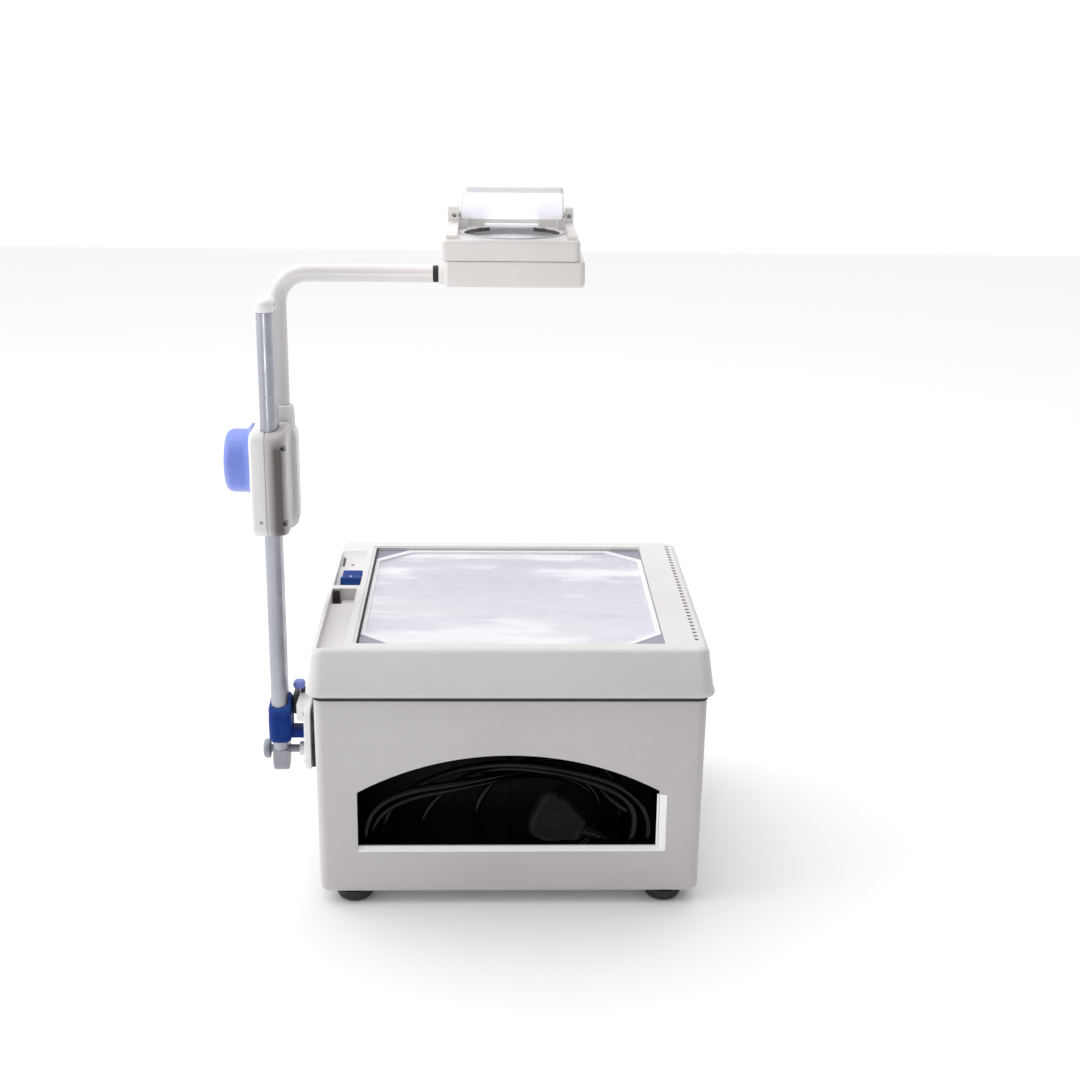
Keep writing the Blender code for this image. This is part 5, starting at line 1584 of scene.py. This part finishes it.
def make_collar():
    x = COLLAR_X

    def ring(grow, level, dip=0.0):
        outline = rounded(
            (x - COLLAR_HALF_X - grow, POST_Y - COLLAR_HALF_Y - grow),
            (x + COLLAR_HALF_X + grow, POST_Y + COLLAR_HALF_Y + grow), COLLAR_CORNER + grow, 10,
        )
        front = POST_Y + 0.008
        length = COLLAR_HALF_Y + 0.008
        return [(a, b, level - dip * ease((front - b) / length)) for a, b in outline]

    dip = 0.0042
    rings = [
        ring(-0.0022, COLLAR_BOTTOM),
        ring(-0.0009, COLLAR_BOTTOM + 0.0005),
        ring(-0.0002, COLLAR_BOTTOM + 0.0018),
        ring(0.0, COLLAR_BOTTOM + 0.0036),
        ring(0.0003, COLLAR_BOTTOM + 0.020),
        ring(0.0, COLLAR_TOP - 0.0100, dip),
        ring(0.0, COLLAR_TOP - 0.0042, dip),
        ring(-0.0006, COLLAR_TOP - 0.0020, dip),
        ring(-0.0018, COLLAR_TOP - 0.0004, dip),
        ring(-0.0028, COLLAR_TOP, dip),
    ]
    collar = loft("collar_sleeve", rings)
    bore = prism("bore", oval(POST_HALF_X + 0.0004, POST_HALF_Y + 0.0004), "z", 0.05, 0.2)
    hook = pillow(
        "hook", (x + COLLAR_HALF_X - 0.004, POST_Y - 0.009, 0.1185 + 0.0040),
        (-0.2006, POST_Y + 0.009, 0.1320), "x", 0.0022, 0.0010, 5, 3, (False, True),
    )
    join(collar, hook)
    cut(collar, bore)
    dress(collar, "blue", "collar", "lock_collar", bevel=0.0004, smooth=38)


# ---------------------------------------------------------------- carriage, holder and knob

CARRIAGE_X = (-0.2445, -0.2103)
CARRIAGE_Y = (0.092, 0.152)
CARRIAGE_Z = (0.335, 0.437)
CARRIAGE_CORNER = 0.012
CARRIAGE_EDGE = 0.0045
SEAM_X = -0.2295
CLAMP_SCREWS = (("upper", 0.4225), ("lower", 0.3495))
KNOB_Y = 0.1425
KNOB_Z = 0.399
KNOB_X = (-0.272, -0.2455)
ARM_X = -0.2215
ARM_R = 0.0085
ARM_BORE = 0.007
ARM_BEND = 0.0285
ARM_FOOT_Z = 0.345
ARM_TOP_Z = 0.576
ARM_END_X = -0.074


def carriage_half(name, seam, outer, turn_x, turn_y):
    """One half of the carriage: a fine chamfer at the seam, its front turning away to the side."""
    (y0, y1), (z0, z1) = CARRIAGE_Y, CARRIAGE_Z
    step = 1 if seam > outer else -1
    rings = []

    def ring(x, front, inset):
        outline = rounded(
            (y0 + front, z0 + inset), (y1 - inset, z1 - inset), CARRIAGE_CORNER - inset, 10
        )
        rings.append([(x, y, z) for y, z in outline])

    for x, inset in ((seam, 0.0009), (seam - 0.0006 * step, 0.0003), (seam - 0.0012 * step, 0.0)):
        ring(x, inset, inset)
    for turn in range(0, 91, 6):
        angle = radians(turn)
        x = outer + step * turn_x * (1 - sin(angle))
        rim = max(0.0, 1 - (abs(x - outer)) / CARRIAGE_EDGE)
        inset = CARRIAGE_EDGE * (1 - (1 - rim**2) ** 0.5)
        ring(x, turn_y * (1 - cos(angle)), inset)
    return loft(name, rings)


def make_carriage():
    x0, x1 = CARRIAGE_X
    y0 = CARRIAGE_Y[0]
    axle = (POST_X, KNOB_Y, KNOB_Z)
    left = carriage_half("carriage_cheek_left", SEAM_X - 0.00015, x0, CARRIAGE_EDGE, CARRIAGE_EDGE)
    right = carriage_half("carriage_cheek_right", SEAM_X + 0.00015, x1, 0.0150, 0.0105)
    for half in (left, right):
        channel = prism("channel", oval(POST_HALF_X + 0.0006, POST_HALF_Y + 0.0006), "z", 0.2, 0.6)
        roller = disc("roller_room", 0.0085, -0.0115, 0.0115, axle, RIGHT, 32)
        shaft = disc("shaft_hole", 0.0042, -0.02, 0.0125, axle, RIGHT, 32)
        cut(half, channel, roller, shaft)
    dimple = turned(
        "dimple", [(0, -0.003), (0.0016, -0.003), (0.0020, 0.0008), (0, 0.0008)],
        (x0 + 0.010, y0, 0.3515), FORWARD, 20,
    )
    cut(left, dimple)
    holes = []
    for _, z in CLAMP_SCREWS:
        seat = (x1 - 0.0086, y0 + 0.0065, z)
        holes.append(disc("screw_hole", 0.0034, -0.0004, 0.0091, seat, RIGHT, 32))
    cut(right, *holes)
    dress(left, "carriage", "carriage", "carriage_left", smooth=40)
    # The right half takes the cheek paint's painted shade
    dress(right, "cheek", "carriage", "carriage_right", smooth=40)
    for name, z in CLAMP_SCREWS:
        seat = (x1 - 0.0068, y0 + 0.0065, z)
        head = screw_head(f"clamp_screw_{name}", seat, RIGHT, 0.0030, "carriage")
        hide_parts(f"carriage_screw_{name}")


def make_arm_holder():
    y0 = CARRIAGE_Y[1] + 0.0003
    z0, z1 = 0.3275, 0.430
    x0, x1 = ARM_X - 0.0135, ARM_X + 0.0150
    back = STAGE_Y + 0.0125
    levels = [(y0, 0.0006), (y0 + 0.0006, 0.0)]
    levels += [(back - inset, rise) for inset, rise in rim_steps(0.004)]
    rings = [
        [(x, y, z) for x, z in drawn_in((x0, z0), (x1, z1), inset, 0.011 - inset, 10)]
        for y, inset in levels
    ]
    holder = loft("arm_clamp", rings)
    collar = turned(
        "collar",
        [
            (0, 0), (0.0132, 0), (0.0130, 0.012), (0.0127, 0.022), (0.0121, 0.0285),
            (0.0114, 0.0309), (0.0104, 0.0315), (0, 0.0315),
        ],
        (ARM_X, STAGE_Y, z1 - 0.0115), UP, 64,
    )
    front = block(
        "front", (x0 - 0.01, y0 - 0.01, z0), (x1 + 0.01, y0 + 0.0003, CARRIAGE_Z[1] + 0.0003)
    )
    cut(collar, front)
    join(holder, collar)
    bore = disc("bore", ARM_R + FIT, ARM_FOOT_Z - 0.001, 0.6, (ARM_X, STAGE_Y, 0), UP, 48)
    cut(holder, bore)
    dress(holder, "carriage", "carriage", "arm_holder", bevel=0.0004, smooth=40)


def make_knob():
    """A soft-ribbed knob with a flange against the carriage and a shallow dish in its face."""
    depth = KNOB_X[1] - KNOB_X[0]
    profile = [
        (0.0036, 0.0002), (0.0345, 0.0002), (0.0355, 0.0005), (0.0360, 0.0013), (0.0356, 0.0022),
        (0.0338, 0.0036), (0.0318, 0.0048), (0.0308, 0.0064), (0.0305, 0.0085),
        (0.0304, depth - 0.0075), (0.0300, depth - 0.0052), (0.0290, depth - 0.0030),
        (0.0274, depth - 0.0013), (0.0250, depth - 0.0003), (0.0230, depth),
        (0.0200, depth - 0.0004), (0.0180, depth - 0.0014), (0.0160, depth - 0.0020),
        (0.0, depth - 0.0022), (0.0, depth - 0.008), (0.0036, depth - 0.008),
    ]
    knob = turned("knob_body", profile, (KNOB_X[1], KNOB_Y, KNOB_Z), LEFT, 120)
    centre = at(KNOB_X[1], KNOB_Y, KNOB_Z)
    for vertex in knob.data.vertices:
        offset = vertex.co - centre
        radius = Vector((0, offset.y, offset.z)).length
        height = -offset.x
        if radius < 0.0225 or not 0.0055 < height < depth - 0.0006:
            continue
        angle = atan2(offset.z, offset.y)
        fade = min(1, (height - 0.0055) / 0.003)
        shrink = 1 - 0.006 * fade * (0.5 - 0.5 * cos(20 * angle)) ** 2
        vertex.co = centre + Vector((offset.x, offset.y * shrink, offset.z * shrink))
    dress(knob, "knob", "knob", "focus_knob", smooth=45)


# ---------------------------------------------------------------- arm and head

HEAD_Y = (0.105, 0.216)
LOWER_X = (-0.062, 0.066)
LOWER_Z = (0.572, 0.5957)
UPPER_X = (-0.0655, 0.0615)
UPPER_Z = (0.596, 0.615)
LENS_R = 0.049
CHEEK_X = (0.0505, 0.058)
MIRROR_PIVOT = (0.198, 0.628)
MIRROR_LENGTH = 0.096
MIRROR_TAIL = 0.009
MIRROR_TILT = radians(19.5)
MIRROR_HALF = (0.0495, 0.045)
EAR_FRONT = 0.1845
WEB_INNER = 0.0400
POCKET_INSET = 0.0013
PANE_INSET = 0.0016
OPTICAL_AXIS = (0, STAGE_Y, 0)


def make_arm():
    """The bent tube, swept as one smooth skin inside and out."""
    path = [((ARM_X, ARM_FOOT_Z), 90.0), ((ARM_X, ARM_TOP_Z - ARM_BEND), 90.0)]
    centre = (ARM_X + ARM_BEND, ARM_TOP_Z - ARM_BEND)
    for i in range(1, 33):
        angle = 180 - 90 * i / 32
        spot = (
            centre[0] + ARM_BEND * cos(radians(angle)), centre[1] + ARM_BEND * sin(radians(angle))
        )
        path.append((spot, angle - 90))
    path.append(((ARM_END_X - 0.0003, ARM_TOP_Z), 0.0))

    def ring(spot, heading, radius):
        side = (-sin(radians(heading)), cos(radians(heading)))
        return [
            (
                spot[0] + side[0] * radius * cos(t), STAGE_Y + radius * sin(t),
                spot[1] + side[1] * radius * cos(t),
            )
            for t in (2 * pi * i / 56 for i in range(56))
        ]

    rings = [ring(*path[0], ARM_R - 0.0004)]
    rings += [ring(spot, heading, ARM_R) for spot, heading in path]
    rings += [ring(*path[-1], ARM_R - 0.0004)]
    rings += [ring(spot, heading, ARM_BORE) for spot, heading in path[::-1]]
    tube = loft("arm_pipe", rings, closed=True)
    dress(tube, "tube", "arm", "arm_tube", smooth=45)
    washer = turned(
        "neck_seal",
        [
            (0.0060, 0), (0.0076, 0), (0.0079, 0.0006), (0.0079, 0.0040), (0.0076, 0.0046),
            (0.0060, 0.0046),
        ],
        (ARM_END_X, STAGE_Y, ARM_TOP_Z), RIGHT, 48,
    )
    dress(washer, "rubber", "arm", "neck_washer", smooth=45)


def rimmed_case(name, wide, deep, corner, levels):
    """A loft through (inset, height) levels of a rectangle with rounded corners."""
    (x0, x1), (y0, y1) = wide, deep
    rings = []
    for inset, z in levels:
        outline = drawn_in((x0, y0), (x1, y1), inset, corner - inset)
        rings.append([(x, y, z) for x, y in outline])
    return loft(name, rings)


def make_lower_housing():
    (y0, y1), (x0, x1), (low, high) = HEAD_Y, LOWER_X, LOWER_Z
    rings = [(inset, low + rise) for inset, rise in rim_steps(0.0034)]
    rings += [(inset, high - rise) for inset, rise in rim_steps(0.0016)[::-1]]
    housing = rimmed_case("lower_case", (x0, x1), (y0, y1), 0.0052, rings)
    neck = turned(
        "neck",
        [
            (0, -0.030), (0.0057, -0.030), (0.0057, 0.0050), (0.0086, 0.0051), (0.0094, 0.0056),
            (0.0097, 0.0066), (0.0100, 0.0140), (0, 0.0140),
        ],
        (ARM_END_X, STAGE_Y, ARM_TOP_Z), RIGHT, 64,
    )
    trim = block(
        "trim", (x0 - 0.05, STAGE_Y - 0.03, low - 0.03), (x0 + 0.02, STAGE_Y + 0.03, low - 0.006)
    )
    cut(neck, trim)
    join(housing, neck)
    bore = disc("bore", 0.047, low - 0.01, high + 0.01, OPTICAL_AXIS, UP, 96)
    countersink = turned(
        "countersink", [(0, -0.004), (0.0505, -0.004), (0.0470, 0.0016), (0, 0.0016)],
        (0, STAGE_Y, low), UP, 96,
    )
    cut(housing, bore, countersink)
    dress(housing, "head", "arm", "head_lower_housing", bevel=0.0004, smooth=40)


def make_upper_housing():
    (y0, y1), (x0, x1), (low, high) = HEAD_Y, UPPER_X, UPPER_Z
    y0 += 0.0005
    rings = [(inset, low + rise) for inset, rise in rim_steps(0.0012)]
    rings += [(inset, high - rise) for inset, rise in rim_steps(0.0036, 9)[::-1]]
    upper = rimmed_case("upper_case", (x0, x1), (y0, y1), 0.0056, rings)
    pivot_y, pivot_z = MIRROR_PIVOT
    profile = [(y0 + 0.0055, high - 0.003), (y1 - 0.002, high - 0.003), (y1 - 0.0025, high + 0.006)]
    profile += arc((pivot_y, pivot_z), 0.009, 8, 90, 20)
    profile += arc((EAR_FRONT + 0.0035, pivot_z + 0.0055), 0.0035, 90, 180, 8)
    profile += [(EAR_FRONT, high + 0.0075), (EAR_FRONT - 0.003, high + 0.0060)]
    profile += [(y0 + 0.0075, high + 0.0044), (y0 + 0.0058, high + 0.0034)]
    cheeks = []
    for sign, outer in ((-1, -0.0605), (1, CHEEK_X[1])):
        ends = sorted((sign * CHEEK_X[0], outer))
        cheeks.append(prism(f"cheek_{sign}", profile, "x", *ends))
        web = sorted((sign * CHEEK_X[0] + sign * 0.002, sign * WEB_INNER))
        cheeks.append(
            block(
                f"web_{sign}", (web[0], EAR_FRONT + 0.001, high - 0.003),
                (web[1], EAR_FRONT + 0.004, high + 0.0088),
            )
        )
    side = CHEEK_X[1]
    wall = block("wall", (-side, y1 - 0.0055, high - 0.003), (side, y1 - 0.002, high + 0.008))
    join(upper, *cheeks, wall)
    # A ledge in the lip's glowing white: a painted highlight at the head's back wall, which the
    # mirror shades
    ledge = block(
        "head_ledge", (-0.026, 0.1965, high + 0.0010), (0.026, y1 - 0.0056, high + 0.0034)
    )
    dress(ledge, "lip", "arm", bevel=0.0004, smooth=30)
    bore = disc("bore", LENS_R + FIT, low + 0.004, 0.7, OPTICAL_AXIS, UP, 96)
    throat = disc("throat", 0.045, 0.5, 0.7, OPTICAL_AXIS, UP, 96)
    pin_bore = disc("pin_bore", 0.0031, -0.07, 0.07, (0, pivot_y, pivot_z), RIGHT, 32)
    holes = [
        disc(
            f"ear_hole_{x}", 0.0021, EAR_FRONT - 0.002, EAR_FRONT + 0.006, (x, 0, pivot_z + 0.0002),
            BACK, 24,
        )
        for x in (-0.0545, 0.0540)
    ]
    cut(upper, bore, throat, pin_bore, *holes)
    dress(upper, "head", "arm", "head_upper_housing", bevel=0.0007, segments=3, smooth=40)
    for side, sign, x in (("left", -1, -0.0605), ("right", 1, CHEEK_X[1])):
        screw_head(
            f"pivot_screw_{side}", (x - sign * 0.0008, pivot_y, pivot_z), (sign, 0, 0), 0.0042,
            "arm",
        )


def lens_shape(name, radius, middle, rise, rim):
    """A lens that bulges both ways from a rim, about the head's optical axis."""
    curve = (radius**2 + rise**2) / (2 * rise)
    reach = asin(radius / curve)
    upper = []
    for i in range(19):
        angle = reach * (1 - i / 18)
        upper.append((curve * sin(angle), middle + rim / 2 + curve * cos(angle) - (curve - rise)))
    lower = [(r, 2 * middle - z) for r, z in upper[::-1]]
    return turned(name, lower + upper, OPTICAL_AXIS, UP, 96)


def make_lens():
    pane = lens_shape("objective_glass", LENS_R - 0.0003, UPPER_Z[0] + 0.0095, 0.0045, 0.004)
    dress(pane, "lens", "arm", "objective_lens", smooth=40)
    top = UPPER_Z[1] - 0.0012
    ring = turned(
        "lens_bezel",
        [
            (LENS_R - 0.0040, top - 0.0005), (LENS_R - 0.0003, top - 0.0005),
            (LENS_R - 0.0003, top + 0.0018), (LENS_R - 0.0008, top + 0.0023),
            (LENS_R - 0.0018, top + 0.0023), (LENS_R - 0.0030, top + 0.0017),
            (LENS_R - 0.0040, top + 0.0009),
        ],
        (0, STAGE_Y, 0), UP, 96,
    )
    tabs = []
    for angle in (48, 62, 118, 132):
        x = (LENS_R - 0.0046) * cos(radians(angle))
        y = STAGE_Y + (LENS_R - 0.0046) * sin(radians(angle))
        near, far = (x - 0.0026, y - 0.0020, top - 0.0003), (x + 0.0026, y + 0.0020, top + 0.0016)
        tabs.append(block(f"tab_{angle}", near, far))
    dress(ring, "head", "arm", "lens_ring", bevel=0.0002, smooth=40, slot="black_plastic")
    # A dark ring inside the bezel, left open at the back middle: painted shade for the bore's inner
    # wall, seen dark behind the lens
    gasket = turned(
        "lens_shadow_ring",
        [
            (LENS_R - 0.0046, top - 0.0020), (LENS_R - 0.0041, top - 0.0020),
            (LENS_R - 0.0041, top + 0.0012), (LENS_R - 0.0046, top + 0.0012),
        ],
        (0, STAGE_Y, 0), UP, 96,
    )
    join(gasket, *tabs)
    gap = block("gasket_gap", (-0.021, STAGE_Y, top - 0.01), (0.021, STAGE_Y + 0.06, top + 0.01))
    cut(gasket, gap)
    dress(gasket, "gasket", "arm", smooth=40)


def mirror_point(along, up):
    """A point of the tilted mirror as (y, z), measured from its pivot towards the front."""
    y, z = MIRROR_PIVOT
    return (
        y - along * cos(MIRROR_TILT) + up * sin(MIRROR_TILT),
        z + along * sin(MIRROR_TILT) + up * cos(MIRROR_TILT),
    )


def mirror_slab(name, levels):
    """A loft through (height, inset) levels of the mirror's outline."""
    return loft(
        name,
        [
            [(x, *mirror_point(along, up)) for x, along in mirror_outline(inset)]
            for up, inset in levels
        ],
    )


def mirror_outline(inset, corner=0.004):
    """The tapered plate in its own plane as (x, along), with rounded front corners."""
    back, front = MIRROR_HALF
    tip = MIRROR_LENGTH - inset
    right = [(back - inset, -MIRROR_TAIL + inset), (back - inset, 0.012)]
    right.append((front - inset + 0.0004, MIRROR_LENGTH - 0.006 - inset))
    right += arc((front - inset - corner, tip - corner), corner, 8, 90, 10)
    return right + [(-x, along) for x, along in right[::-1]]


def make_mirror():
    levels = (
        (-0.0030, 0.0010), (-0.0027, 0.0003), (-0.0021, 0.0), (0.0017, 0.0), (0.0024, 0.0003),
        (0.0029, 0.0010), (0.0030, 0.0018),
    )
    plate = mirror_slab("mirror_cover", levels)
    pocket = mirror_slab("pocket", ((-0.010, POCKET_INSET), (0.0003, POCKET_INSET)))
    cut(plate, pocket)
    y, z = MIRROR_PIVOT
    pins = [
        disc(f"pin_{side}", 0.0028, low, high, (0, y, z), RIGHT, 32)
        for side, low, high in (("left", -0.0560, -0.0475), ("right", 0.0475, 0.0543))
    ]
    join(plate, *pins)
    dress(plate, "mirror_back", "mirror", "mirror_frame", bevel=0.0003, smooth=40)
    pane = mirror_slab("mirror_pane", ((-0.0027, PANE_INSET), (0.0, PANE_INSET)))
    dress(pane, "mirror", "mirror", "mirror_glass", bevel=0.0003, smooth=30)


# ---------------------------------------------------------------- CAD pieces that keep their shape

KEPT = {
    "base_pan": "steel", "lower_hinge_leaf_left": "steel", "lower_hinge_leaf_right": "steel",
    "upper_hinge_leaf_left": "steel", "upper_hinge_leaf_right": "steel", "hinge_pin_left": "steel",
    "hinge_pin_right": "steel", "switch_housing": "black", "fresnel_lens": "fresnel",
}
SLOT_PAINT = {
    "shell_plastic": "shell", "painted_tube": "tube", "blue_plastic": "blue",
    "knob_plastic": "knob", "rubber": "rubber", "cord_jacket": "jacket", "black_plastic": "black",
    "liner_plastic": "liner", "sheet_steel": "steel", "screw_black": "screw",
    "post_aluminium": "post", "clear_glass": "bulb", "fresnel_acrylic": "fresnel",
    "mask_grey": "mask", "mirror_coat": "mirror", "ceramic_white": "ceramic",
}


def paint_kept():
    """Gives every CAD node that still shows the finer material of its slot."""
    for obj in bpy.context.scene.objects:
        if obj.type != "MESH" or obj.hide_render:
            continue
        for slot in obj.material_slots:
            base = slot.material.name.split(".")[0] if slot.material else ""
            if obj.name in KEPT:
                slot.material = PAINTS[KEPT[obj.name]]
            elif base in SLOT_PAINT and obj.name in frame["nodes"]:
                slot.material = PAINTS[SLOT_PAINT[base]]


def main():
    make_camera()
    make_floor()
    make_light()
    PAINTS.update(make_paints())
    make_body()
    make_lid()
    make_bracket()
    make_post()
    make_collar()
    make_carriage()
    make_arm_holder()
    make_knob()
    make_arm()
    make_lower_housing()
    make_upper_housing()
    make_lens()
    make_mirror()
    make_cord()
    paint_kept()


main()
